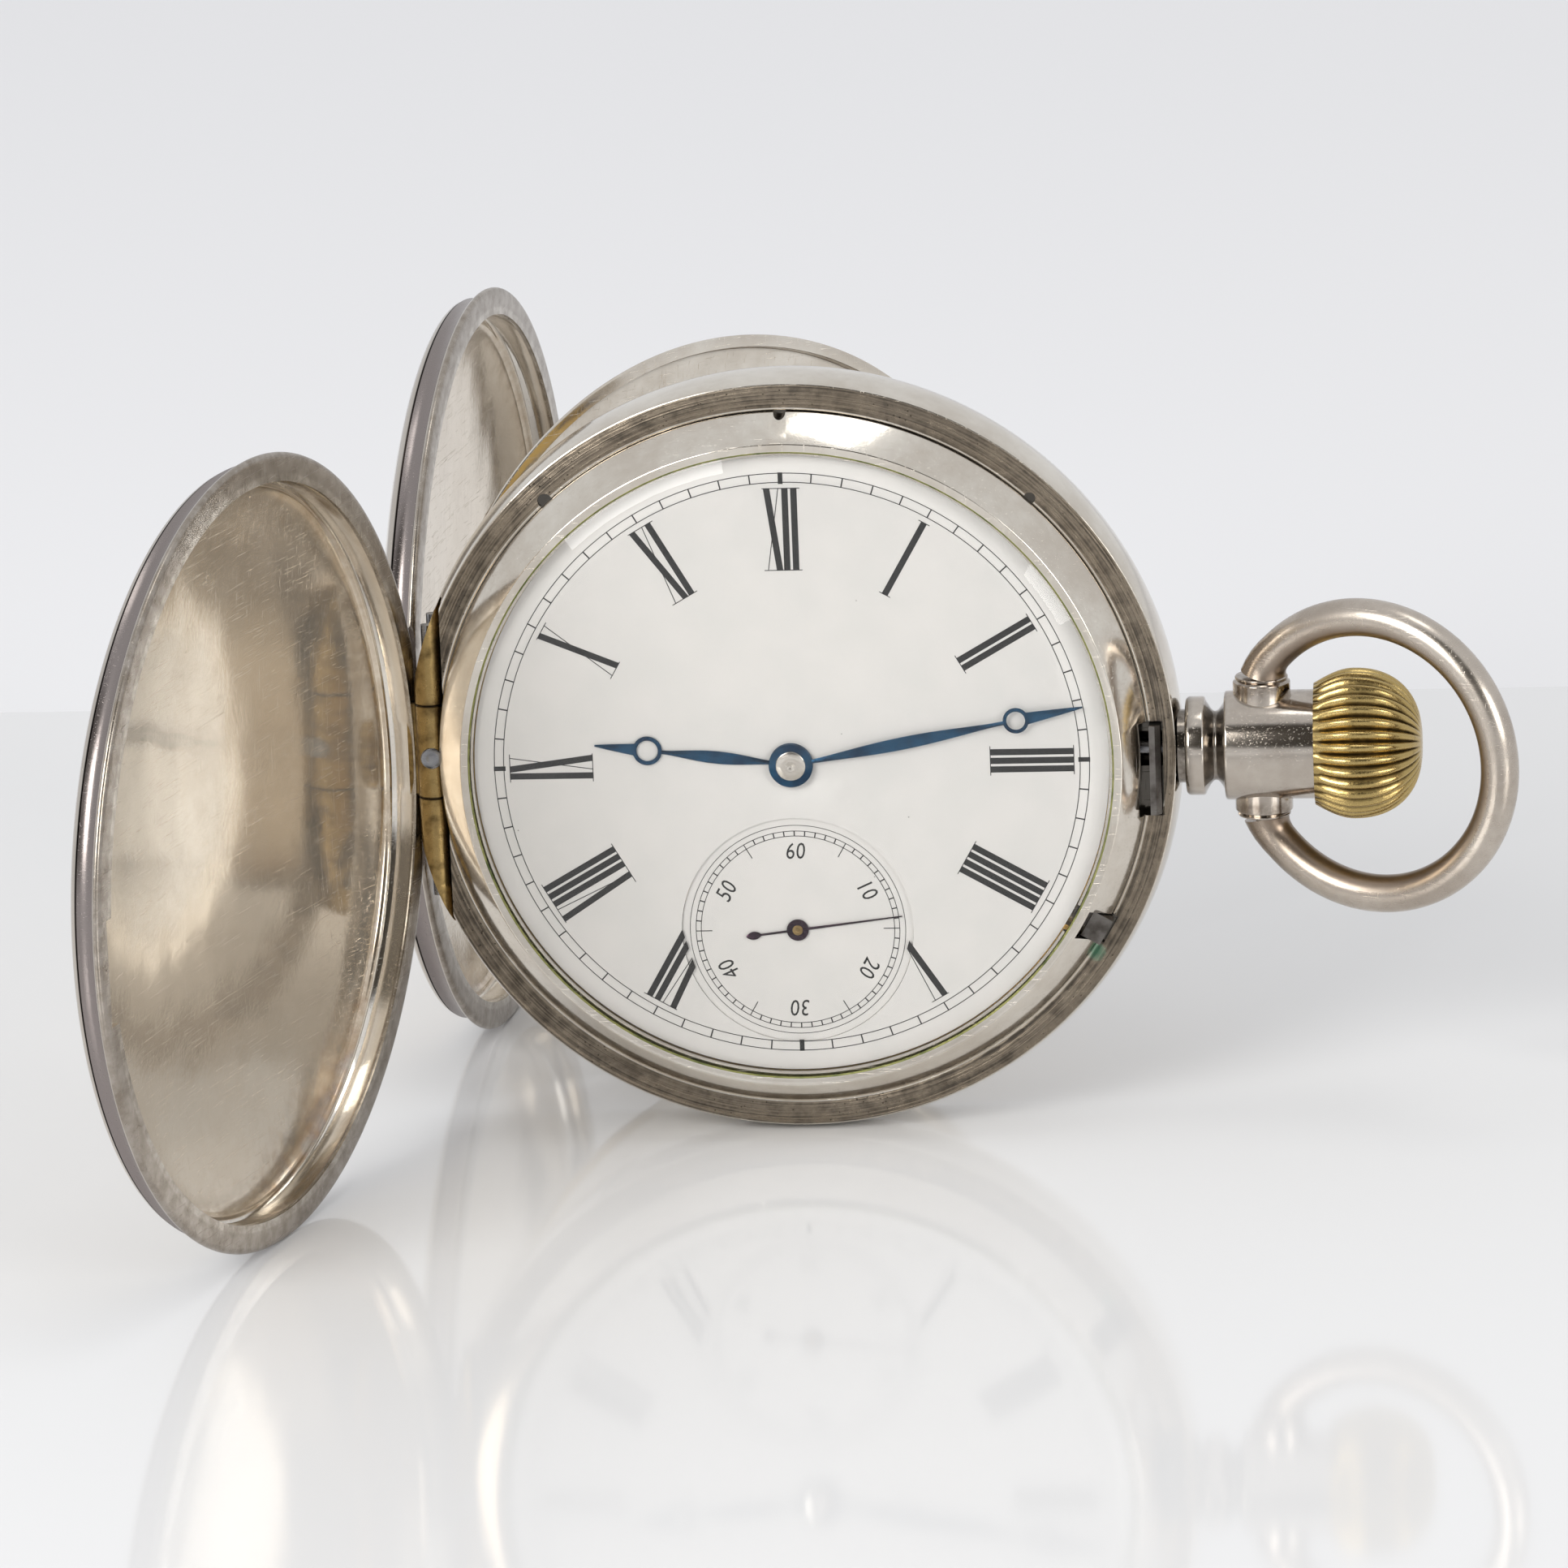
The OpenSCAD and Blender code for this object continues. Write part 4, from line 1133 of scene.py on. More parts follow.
@dataclass
class Cover:
    """A pressed domed cover, drawn with its rim at z = 0 and its dome toward +z or -z."""

    name: str
    node: str
    body: str
    hinge: str
    seat_z: float
    side: int
    outer_r: float = 26.4
    lip_r: float = 24.5
    depth: float = 4.55
    wall: float = 0.6
    chord_x: float = -24.95
    knuckle: tuple[float, float] = (-2.5, 4.0)
    nick: bool = False

    def profile(self) -> Profile:
        """Section of the cover: rolled rim, concave band between two grooves, dome and hollow inside.

        Returns:
            The closed outline.
        """
        bead = [(self.lip_r, 0.0), (25.92, 0.0), (26.2, 0.05), *arc(26.14, 0.3, 0.26, -60, 75, 8)]
        hollow = [
            (
                25.78 - 0.2 * math.sin(math.pi * t) - 0.14 * t, 0.64 + 1.26 * t
            ) for t in (i / 12 for i in range(13))
        ]
        groove = [(25.5, 1.95), (25.48, 2.0), (25.56, 2.03)]
        outside = dome(25.52, 2.08, self.depth - 2.08, 40)
        inside = list(reversed(dome(24.2, 1.95, self.depth - self.wall - 1.95, 40)))
        throat = [(24.28, 1.85), (24.52, 1.78), (24.66, 1.4), (24.68, 0.5), (24.6, 0.24), (24.5, 0.12)]
        return bead + hollow + groove + outside + inside + throat

    def build(self, silver: Callable[[Matrix], bpy.types.Material]) -> None:
        """Build the cover, cut its hinge flat and its catch nick, and dress it.

        Args:
            silver: Makes its silver in a frame.
        """
        at = cover_frame(self.hinge, self.seat_z)
        points = [(r, z * self.side) for r, z in self.profile()]
        shell = lathe(points, fineness())
        low, high = self.knuckle
        cutters = [
            block((-30, -12, -9), (self.chord_x, 12, 9)),
            block(
                (-24.91, low, -0.9 if self.side > 0 else -0.5),
                (-24.54, high, 0.5 if self.side > 0 else 0.9)
            ),
        ]
        if self.nick:
            cutters.append(block((24, -4.6, -1), (25.15, 2.4, 0.95)))
        piece(self.name, carve(shell, cutters), self.body, silver(at), at, [self.node], sharp=28)


@dataclass
class DustCover:
    """The shallow inner cover over the movement."""

    node: str = "cuvette"
    seat_z: float = -6.6
    rim_r: float = 24.7

    def build(self, silver: Callable[[Matrix], bpy.types.Material]) -> None:
        """Build the cover with its snap rim and three small struck marks inside.

        Args:
            silver: Makes its silver in a frame.
        """
        at = cover_frame("dust_cover_hinge", self.seat_z)
        outline = [
            (23.9, 0.0), *arc(24.6, -0.1, 0.1, 90, 0, 3), (24.7, -0.22), (24.4, -0.42), (24.36, -0.8),
            *[(r, -z) for r, z in dome(24.2, 0.88, 1.17, 36)],
            *[(r, -z) for r, z in reversed(dome(23.7, 0.5, 1.1, 36))],
            (23.8, -0.36), (23.88, -0.2),
        ]
        cutters = [block((-26, -12, -5), (-23.2, 12, 5))]
        for index in range(3):
            mark = Vector((2.6 + 1.6 * index, 17.5, -1.28))
            cutters.append(block(mark - Vector((0.35, 0.45, 0.3)), mark + Vector((0.35, 0.45, 0.06))))
        shell = carve(lathe(outline, fineness(200)), cutters)
        piece("dust_cover_shell", shell, "dust_cover", silver(at), at, [self.node], sharp=28)


# ---------------------------------------------------------------- pendant, bow and crown


@dataclass
class Pendant:
    """Neck of the case with its round groove, barrel and the bosses that carry the bow."""

    barrel_r: float = 3.7
    pivot_x: float = 31.8

    def build(self, silver: bpy.types.Material) -> None:
        """Build the neck as one turned body with a bored mouth, and its two bosses.

        Args:
            silver: Its silver.
        """
        outline = [
            (1.3, 26.1), (2.5, 26.1), (2.5, 26.62), *arc(3.05, 26.92, 0.3, -90, 0, 4), (3.35, 27.7),
            *arc(3.15, 27.75, 0.2, 0, 90, 4), *[
                (3.12 - 0.78 * math.sin(math.pi * t), 27.97 + 1.3 * t) for t in (i / 14 for i in range(15))
            ],
            *arc(3.5, 29.45, 0.2, -90, 0, 4), (3.7, 35.2), *arc(3.5, 35.4, 0.2, 0, 90, 4),
            (2.2, 35.6), (2.2, 33.2), (1.3, 33.2),
        ]
        neck = lathe(outline, 96)
        for side in (-1, 1):
            boss = lathe(
                [
                    (0.0, 3.0), (1.95, 3.0), (1.95, 4.4), *arc(1.85, 4.4, 0.1, 0, 60, 3), (1.72, 4.62),
                    (1.8, 4.72), *arc(1.7, 4.76, 0.1, 0, 90, 3), (0.72, 4.86), (0.72, 3.4), (0.0, 3.4)
                ],
                40
            )
            spot = shift(0, 0, self.pivot_x) @ Matrix.Rotation(math.radians(-90 * side), 4, "X")
            join(neck, boss, at=spot)
        piece("pendant_neck", neck, "case", silver, side_frame(), ["pendant"])


@dataclass
class Bow:
    """Open ring of round wire that hangs from the pendant."""

    ring_r: float = 9.57
    wire_r: float = 1.28
    offset: float = 8.1
    foot_y: float = 4.96
    gap: float = 134.0

    def build(self, silver: Callable[[Matrix], bpy.types.Material]) -> None:
        """Sweep the wire from boss to boss and dress it with painted brown shade on the inner side of the
        ring and brown patina at its feet.

        Args:
            silver: Makes its silver in a frame.
        """
        pivot = joint("bow_swing")["pos_m"]
        low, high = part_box("bow")
        tilt = math.asin(((low.y + self.wire_r * MM) - pivot[1]) / (-(self.offset + self.ring_r) * MM))
        at = Matrix.Translation(pivot) @ Matrix.Rotation(-tilt, 4, "Z") @ UPRIGHT.to_3x3().to_4x4()
        ring = [
            Vector((self.offset + self.ring_r * math.cos(a), self.ring_r * math.sin(a), 0))
            for a in (math.radians(-self.gap + 2 * self.gap * i / 96) for i in range(97))
        ]
        first, last = ring[0], ring[-1]
        ease = [0.0, 0.25, 0.5, 0.75]

        def foot(end: Vector, side: int) -> list[Vector]:
            """Curve an end of the ring to its boss.

            Args:
                end: Where the ring ends.
                side: One or minus one.

            Returns:
                Points from the boss to the ring.
            """
            base, knee = Vector((0.22, side * self.foot_y, 0)), Vector(
                (0.32, side * (self.foot_y + 0.95), 0)
            )
            return [base * (1 - t) ** 2 + knee * 2 * t * (1 - t) + end * t**2 for t in ease]

        path = foot(first, -1) + ring + list(reversed(foot(last, 1)))
        swell = [1.6, 1.46, 1.36, 1.3]
        radii = swell + [self.wire_r] * len(ring) + list(reversed(swell))
        wire = sweep(path, radii, 32)
        for side in (-1, 1):
            join(wire, round_bar(0.66, Vector((0, side * 3.5, 0)), Vector((0, side * 5.2, 0)), 24))
        piece("bow_wire", wire, "bow", silver(at), at, ["bow"])


@dataclass
class Crown:
    """Fluted onion crown with a pointed foot to every rib."""

    radius: float = 5.1
    start: float = 35.3
    length: float = 7.3
    ribs: int = 34
    flute: float = 0.42

    def build(self, gilt: bpy.types.Material, steel: bpy.types.Material) -> None:
        """Build the crown by turning its outline and pressing the flutes in.

        Args:
            gilt: Its gilt brass.
            steel: Steel of the stem.
        """
        wide = 0.37 * self.length
        front = [
            (4.12 + (self.radius - 4.12) * math.sin(math.pi / 2 * t), self.start + wide * t)
            for t in (i / 10 for i in range(11))
        ]
        back = [
            (
                self.radius * math.cos(a) ** 0.8,
                self.start + wide + (self.length - wide) * math.sin(a) ** 0.9,
            )
            for a in (math.radians(4.2 * i) for i in range(1, 21))
        ]
        outline = [
            (0.62, self.start + 3.0), (0.62, self.start + 1.1), (3.9, self.start + 1.1), (3.9, self.start),
            *front, *back, (0.0, self.start + self.length), (0.0, self.start + 3.0)
        ]
        steps = self.ribs * 10
        body = lathe(outline, steps)
        for vert in body.verts:
            radius = math.hypot(vert.co.x, vert.co.y)
            along = (vert.co.z - self.start) / self.length
            if radius < 1.5 or vert.co.z < self.start + 0.02 or radius < 3.95 and along < 0.3:
                continue
            phase = math.atan2(vert.co.y, vert.co.x) * self.ribs / 2
            groove = 1 - abs(math.cos(phase))
            fade = min(1.0, (radius - 1.5) / 1.6) * min(1.0, along * 9)
            scale = 1 - self.flute * groove * fade / radius
            vert.co.x *= scale
            vert.co.y *= scale
        piece("crown_fluted", body, "crown", gilt, side_frame(), ["crown"], sharp=50)
        dress(steel, "push_sleeve", "stem", "winding_pinion")


# ---------------------------------------------------------------- dial


@dataclass
class DialPrint:
    """Everything painted on the two dials."""

    track_out: float = 20.2
    track_in: float = 19.57
    figure_top: float = 19.15
    figure_foot: float = 13.5
    stroke: float = 0.43
    hair: float = 0.055
    pitch: float = 0.6
    film: float = 0.012
    seconds_drop: float = -SMALL_DIAL_Y
    seconds_z: float = -0.2
    seconds_out: float = 6.95
    seconds_in: float = 6.6

    FIGURES: ClassVar[dict[int, str]] = {
        1: "I", 2: "II", 3: "III", 4: "IIII", 5: "V", 7: "VII", 8: "VIII", 9: "IX", 10: "X", 11: "XI",
        12: "XII"
    }

    def ring(self, radius: float, width: float, z: float) -> bmesh.types.BMesh:
        """A thin painted circle.

        Args:
            radius: Its radius.
            width: How wide it is.
            z: Its height.

        Returns:
            The circle.
        """
        half = width / 2
        return lathe(
            [
                (radius - half, z), (radius + half, z), (radius + half, z + self.film),
                (radius - half, z + self.film)
            ],
            180
        )

    def line(self, start: tuple[float, float], end: tuple[float, float], width: float) -> bmesh.types.BMesh:
        """A painted line in a figure's own plane.

        Args:
            start: Where it starts.
            end: Where it ends.
            width: How wide it is.

        Returns:
            The line.
        """
        a, b = Vector(start), Vector(end)
        along = b - a
        at = shift(*((a + b) / 2), self.film / 2) @ Matrix.Rotation(math.atan2(along.y, along.x), 4, "Z")
        return block(
            (-along.length / 2, -width / 2, -self.film / 2), (along.length / 2, width / 2, self.film / 2),
            at
        )

    def figure(self, text: str) -> bmesh.types.BMesh:
        """A Roman figure, feet at y = figure_foot and heads at figure_top, centred on x = 0.

        Args:
            text: What it reads.

        Returns:
            The figure.
        """
        widths = {"I": self.pitch, "V": 1.1, "X": 1.12}
        total = sum(widths[c] for c in text)
        bm = bmesh.new()
        x = -total / 2
        low, high = self.figure_foot, self.figure_top
        for letter in text:
            w = widths[letter]
            a, b, m = x + 0.14, x + w - 0.14, x + w / 2
            if letter == "I":
                join(bm, self.line((m, low), (m, high), self.stroke))
            if letter == "V":
                join(
                    bm, self.line((m, low), (a + 0.05, high), self.stroke),
                    self.line((m, low), (b, high), self.hair)
                )
            if letter == "X":
                join(
                    bm, self.line((b - 0.05, low), (a + 0.05, high), self.stroke),
                    self.line((a, low), (b, high), self.hair)
                )
            x += w
        reach = total / 2 + 0.12
        return join(
            bm, self.line((-reach, low), (reach, low), self.hair),
            self.line((-reach, high), (reach, high), self.hair)
        )

    def build_hours(self, ink: bpy.types.Material) -> None:
        """Paint the hour figures; five and seven stop at the seconds dial.

        Args:
            ink: The paint.
        """
        bm = bmesh.new()
        for hour, text in self.FIGURES.items():
            turn = Matrix.Rotation(math.radians(-30 * hour), 4, "Z")
            mark = self.figure(text)
            bmesh.ops.transform(mark, matrix=turn, verts=mark.verts)
            if hour in (5, 7):
                centre = Vector((0, -self.seconds_drop, 0))
                middle = turn @ Vector((0, (self.figure_top + self.figure_foot) / 2, 0))
                away = (middle - centre).normalized()
                bmesh.ops.bisect_plane(
                    mark, geom=mark.verts[:] + mark.edges[:] + mark.faces[:], plane_co=centre + away * 7.5,
                    plane_no=away, clear_inner=True,
                )
                bmesh.ops.holes_fill(mark, edges=mark.edges)
            join(bm, mark)
        piece("hour_figures", bm, "case", ink)

    def build_minutes(self, ink: bpy.types.Material) -> None:
        """Paint the minute track, heavier at the quarters.

        Args:
            ink: The paint.
        """
        bm = join(
            bmesh.new(), self.ring(self.track_out, self.hair, 0), self.ring(self.track_in, self.hair, 0)
        )
        for minute in range(60):
            heavy = minute % 15 == 0
            inner = self.track_in - (0.12 if heavy else 0)
            tick = self.line(
                (0, inner), (0, self.track_out + (0.05 if heavy else 0)), 0.32 if heavy else 0.09
            )
            join(bm, tick, at=Matrix.Rotation(math.radians(-6 * minute), 4, "Z"))
        piece("minute_track", bm, "case", ink)

    def build_seconds(self, ink: bpy.types.Material) -> None:
        """Paint the seconds dial's track and figures.

        Args:
            ink: The paint.
        """
        place = shift(0, -self.seconds_drop, self.seconds_z)
        bm = join(
            bmesh.new(), self.ring(self.seconds_out, 0.045, 0), self.ring(self.seconds_in, 0.045, 0),
            self.ring(7.35, 0.04, 0)
        )
        for second in range(60):
            long = second % 10 == 5
            tick = self.line(
                (0, 5.85 if long else self.seconds_in), (0, self.seconds_out), 0.06 if long else 0.08
            )
            join(bm, tick, at=Matrix.Rotation(math.radians(-6 * second), 4, "Z"))
        piece("seconds_track", bm, "case", ink, UPRIGHT @ place)
        figures = bmesh.new()
        for number in (60, 10, 20, 30, 40, 50):
            turn = Matrix.Rotation(math.radians(-6 * number), 4, "Z")
            join(figures, self.digits(str(number)), at=turn @ shift(0, 5.0, 0))
        piece("seconds_figures", figures, "case", ink, UPRIGHT @ place)

    def digits(self, text: str) -> bmesh.types.BMesh:
        """Slanted figures 1.15 mm high, centred on x = 0.

        Args:
            text: What it reads.

        Returns:
            The figures.
        """
        curve = bpy.data.curves.new("digits", "FONT")
        curve.body = text
        curve.size = 1.62
        curve.shear = 0.12
        curve.space_character = 1.05
        curve.align_x = "CENTER"
        curve.extrude = self.film / 2
        curve.resolution_u = 3
        obj = bpy.data.objects.new("digits", curve)
        bpy.context.scene.collection.objects.link(obj)
        bm = bmesh.new()
        bm.from_mesh(obj.evaluated_get(bpy.context.evaluated_depsgraph_get()).to_mesh())
        bpy.data.objects.remove(obj)
        bpy.data.curves.remove(curve)
        bmesh.ops.transform(bm, matrix=Matrix.Diagonal((0.82, 1, 1, 1)), verts=bm.verts)
        return bm


# ---------------------------------------------------------------- hands


@dataclass
class Hand:
    """A pointing hand, drawn along +x with its thickness from z upward."""

    name: str
    node: str
    body: str
    angle: float
    z: float
    thick: float
    hub_r: float
    eye_r: float
    ring_at: float = 0.0
    ring_r: float = 0.0
    tip: float = 0.0

    def leaf(self, x0: float, x1: float, half: Callable[[float], float]) -> bmesh.types.BMesh:
        """A ridged leaf between two points, filed to a low roof.

        Args:
            x0: Where it starts.
            x1: Where it ends.
            half: Half its width along it.

        Returns:
            The leaf.
        """
        bm = bmesh.new()
        bmesh.ops.create_grid(bm, x_segments=24, y_segments=4, size=1)
        for vert in bm.verts:
            t = (vert.co.x + 1) / 2
            across = vert.co.y
            vert.co = (x0 + (x1 - x0) * t, across * half(t), self.thick * (0.55 + 0.45 * (1 - abs(across))))
        top = bm.faces[:]
        under = bmesh.ops.extrude_face_region(bm, geom=top)["geom"]
        for vert in (v for v in under if isinstance(v, bmesh.types.BMVert)):
            vert.co.z = 0.0
        bmesh.ops.recalc_face_normals(bm, faces=bm.faces)
        return bm

    def eye(self, outer: float, inner: float, steps: int = 48) -> bmesh.types.BMesh:
        """A flat ring with eased edges.

        Args:
            outer: Outer radius.
            inner: Inner radius.
            steps: Number of steps.

        Returns:
            The ring.
        """
        soft = min(0.04, self.thick * 0.35)
        outline = [
            (inner, 0.0), (outer, 0.0), (outer, self.thick - soft), (outer - soft, self.thick),
            (inner + soft, self.thick), (inner, self.thick - soft)
        ]
        return lathe(outline, steps)

    def build(self, steel: bpy.types.Material) -> None:
        """Build the hand and turn it to its hour.

        Args:
            steel: Its steel.
        """
        bm = self.eye(self.hub_r, self.eye_r)
        ring_in = self.ring_r * 0.72

        def swell(t: float) -> float:
            """Shape the swelling leaf.

            Args:
                t: Share of the way along.

            Returns:
                Half its width.
            """
            return 0.13 + 0.3 * math.sin(math.pi * min(1, t * 1.05)) ** 1.3

        join(bm, self.leaf(self.hub_r - 0.06, self.ring_at - self.ring_r + 0.1, swell))
        join(bm, self.eye(self.ring_r, ring_in), at=shift(self.ring_at, 0, 0))
        start = self.ring_at + self.ring_r - 0.12
        join(bm, self.leaf(start, self.tip, lambda t: 0.36 * (1 - t) ** 0.9 + 0.05))
        at = UPRIGHT @ Matrix.Rotation(math.radians(90 - self.angle), 4, "Z") @ shift(0, 0, self.z)
        piece(self.name, bm, self.body, steel, at, [self.node], sharp=20)


@dataclass
class SecondsHand(Hand):
    """The small hand, with a teardrop tail."""

    def build(self, steel: bpy.types.Material) -> None:
        """Build the hand with a thin needle and its tail.

        Args:
            steel: Its steel.
        """
        bm = self.eye(self.hub_r, self.eye_r)
        join(bm, self.leaf(self.hub_r - 0.05, self.tip, lambda t: 0.085 - 0.045 * t))
        join(bm, self.leaf(-2.6, 0.05 - self.hub_r, lambda t: 0.07))

        def drop(t: float) -> float:
            """Shape the teardrop.

            Args:
                t: Share of the way along.

            Returns:
                Half its width.
            """
            return 0.02 + 0.26 * math.sin(math.pi * t) ** 0.7

        join(bm, self.leaf(-3.55, -2.5, drop))
        at = UPRIGHT @ shift(0, SMALL_DIAL_Y, self.z) @ Matrix.Rotation(
            math.radians(90 - self.angle), 4, "Z"
        )
        piece(self.name, bm, self.body, steel, at, [self.node], sharp=20)


@dataclass
class Caps:
    """The polished ends of the arbors in the middle of the hands, and the rivet of the hinge."""

    def build(
        self, silver: bpy.types.Material, brass: bpy.types.Material, steel: bpy.types.Material
    ) -> None:
        """Build the caps and the rivet.

        Args:
            silver: Steel-white silver of the cap.
            brass: Brass of the small cap.
            steel: Steel of the rivet.
        """
        outline = [
            (0.0, 0.45), (0.72, 0.45), (0.98, 0.545), (1.02, 0.56), *arc(0.94, 0.57, 0.08, 0, 80, 3),
            (0.5, 0.67), (0.16, 0.68), (0.12, 0.66), (0.0, 0.66)
        ]
        piece("centre_cap", lathe(outline, 48), "centre_wheel", silver, UPRIGHT)
        small = [
            (0.0, -0.09), (0.28, -0.09), (0.36, -0.0), *arc(0.3, 0.01, 0.06, 0, 80, 3), (0.14, 0.075),
            (0.1, 0.05), (0.0, 0.05)
        ]
        piece(
            "seconds_cap", lathe(small, 32), "fourth_wheel", brass,
            UPRIGHT @ shift(0, SMALL_DIAL_Y, 0)
        )
        cup = [
            (0.0, -0.3), (0.74, -0.3), (0.74, 0.0), *arc(0.66, 0.0, 0.08, 0, 90, 3), (0.5, 0.02),
            (0.3, 0.06), (0.0, 0.08)
        ]
        low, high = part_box("front_lid_knuckle")
        pin = joint("front_cover_hinge")["pos_m"]
        spot = Matrix.Translation((pin[0] + 0.05 * MM, low.y + 0.02 * MM, (low.z + high.z) / 2 - 0.4 * MM))
        face = spot @ Matrix.Rotation(math.radians(90), 4, "X") @ Matrix.Scale(MM, 4)
        piece("hinge_rivet", lathe(cup, 40), "front_cover", steel, face)


# ---------------------------------------------------------------- stage


@dataclass
class Stage:
    """Pale glossy table, a matt sheet lying behind it, soft lamps and the camera.

    Nothing stands up, so the watch can be seen from every side.
    """

    table_back: float = 0.12
    depth: float = 4.0
    half_width: float = 3.0
    below: float = 0.00002
    backdrop: str = "#E9E9EB"
    room_light: float = 0.9
    room_bright: str = "#EEEFF1"
    room_dark: str = "#48443F"
    dark_from: tuple[float, float, float] = (0.0, 0.839, -0.545)
    dark_edge: tuple[float, float] = (-0.93, -0.86)
    lens: float = 201.8
    camera_at: tuple[float, float, float] = (0.0518, -0.5725, 0.1785)
    yaw: float = 5.12
    pitch: float = -14.85
    roll: float = -2.23
    camera_shift: tuple[float, float] = (-0.0094, -0.0100)

    def build(self) -> None:
        """Build the table, the backdrop, the lamps and the camera."""
        glossy = self.gloss("table_white", "#E4E4E5", 0.07, 0.3)
        self.set_down("table_top", self.sheet(self.table_back - self.depth, self.table_back), glossy)
        matte = self.gloss("backdrop_grey", self.backdrop, 0.9, 0.0)
        self.set_down("backdrop", self.sheet(self.table_back, self.table_back + self.depth), matte)
        self.lamp("key_lamp", (-0.5, -0.8, 0.5), 0.5, 7.4)
        self.lamp("fill_lamp", (0.75, -0.75, 0.35), 0.4, 3.5)
        self.lamp("top_lamp", (0.1, -0.05, 0.9), 0.25, 0.5)
        self.lamp("back_lamp", (0.0, 0.3, 1.0), 0.6, 0.3, (0.0, 0.9, 0.2), 80.0)
        bpy.context.scene.view_settings.view_transform = "Standard"
        self.room()
        self.camera()

    def room(self) -> None:
        """Light the room: bright round the set, with one dark side above the camera."""
        world = bpy.data.worlds.new("studio")
        world.use_nodes = True
        tree = world.node_tree
        coords = tree.nodes.new("ShaderNodeTexCoord")
        toward = tree.nodes.new("ShaderNodeVectorMath")
        toward.operation = "DOT_PRODUCT"
        toward.inputs[1].default_value = self.dark_from
        tree.links.new(coords.outputs["Generated"], toward.inputs[0])
        front = tree.nodes.new("ShaderNodeMapRange")
        front.interpolation_type = "SMOOTHSTEP"
        front.inputs["From Min"].default_value, front.inputs["From Max"].default_value = self.dark_edge
        tree.links.new(toward.outputs["Value"], front.inputs["Value"])
        shade = tree.nodes.new("ShaderNodeMix")
        shade.data_type = "RGBA"
        tree.links.new(front.outputs["Result"], shade.inputs[0])
        shade.inputs[6].default_value = colour(self.room_dark)
        shade.inputs[7].default_value = colour(self.room_bright)
        background = tree.nodes["Background"]
        tree.links.new(shade.outputs[2], background.inputs[0])
        background.inputs[1].default_value = self.room_light
        bpy.context.scene.world = world

    def gloss(self, name: str, code: str, roughness: float, specular: float) -> bpy.types.Material:
        """Plain material of the stage.

        Args:
            name: Its name.
            code: Its colour.
            roughness: Its roughness.
            specular: How much it mirrors.

        Returns:
            The material.
        """
        material = bpy.data.materials.new(name)
        material.use_nodes = True
        shader = material.node_tree.nodes["Principled BSDF"]
        shader.inputs["Base Color"].default_value = colour(code)
        shader.inputs["Roughness"].default_value = roughness
        shader.inputs["Specular IOR Level"].default_value = specular
        return material

    def sheet(self, near: float, far: float) -> bmesh.types.BMesh:
        """Lay a flat sheet across the set.

        Args:
            near: Y of its front edge in metres.
            far: Y of its back edge in metres.

        Returns:
            The new sheet.
        """
        bm = bmesh.new()
        bmesh.ops.create_grid(bm, x_segments=1, y_segments=1, size=1)
        size = Matrix.Diagonal((self.half_width, (far - near) / 2, 1, 1))
        place = Matrix.Translation((0, (near + far) / 2, -self.below))
        bmesh.ops.transform(bm, matrix=place @ size, verts=bm.verts)
        return bm

    def set_down(self, name: str, bm: bmesh.types.BMesh, material: bpy.types.Material) -> None:
        """Place a plain surface of the stage.

        Args:
            name: Name of the surface.
            bm: Its shape.
            material: Its material.
        """
        mesh = bpy.data.meshes.new(name)
        bm.to_mesh(mesh)
        bm.free()
        obj = bpy.data.objects.new(name, mesh)
        bpy.context.scene.collection.objects.link(obj)
        mesh.materials.append(material)

    def lamp(
        self,
        name: str,
        place: Sequence[float],
        size: float,
        power: float,
        target: Sequence[float] = (0.0, 0.0, 0.025),
        spread: float = 180.0,
    ) -> None:
        """Hang a square soft lamp that faces the watch.

        Args:
            name: Its name.
            place: Where it hangs.
            size: Length of its side in metres.
            power: Power in watts.
            target: What it faces.
            spread: Angle of its beam.
        """
        data = bpy.data.lights.new(name, "AREA")
        data.size = size
        data.energy = power
        data.spread = math.radians(spread)
        data.color = colour("#FFFEFB")[:3]
        obj = bpy.data.objects.new(name, data)
        bpy.context.scene.collection.objects.link(obj)
        obj.location = place
        obj.rotation_euler = (Vector(target) - Vector(place)).to_track_quat("-Z", "Y").to_euler()

    def camera(self) -> None:
        """Set the camera low and close, leaning a little to one side."""
        yaw, pitch, roll = (math.radians(a) for a in (self.yaw, self.pitch, self.roll))
        forward = Vector(
            (-math.sin(yaw) * math.cos(pitch), math.cos(yaw) * math.cos(pitch), math.sin(pitch))
        )
        right = Vector((math.cos(yaw), math.sin(yaw), 0))
        up = right.cross(forward)
        leaned_right = right * math.cos(roll) + up * math.sin(roll)
        leaned_up = up * math.cos(roll) - right * math.sin(roll)
        data = bpy.data.cameras.new("camera")
        data.lens = self.lens
        data.sensor_width = 36
        data.shift_x, data.shift_y = self.camera_shift
        data.clip_start = 0.01
        data.dof.use_dof = False
        obj = bpy.data.objects.new("camera", data)
        bpy.context.scene.collection.objects.link(obj)
        turn = Matrix((leaned_right, leaned_up, -forward)).transposed().to_4x4()
        obj.matrix_world = Matrix.Translation(self.camera_at) @ turn
        bpy.context.scene.camera = obj


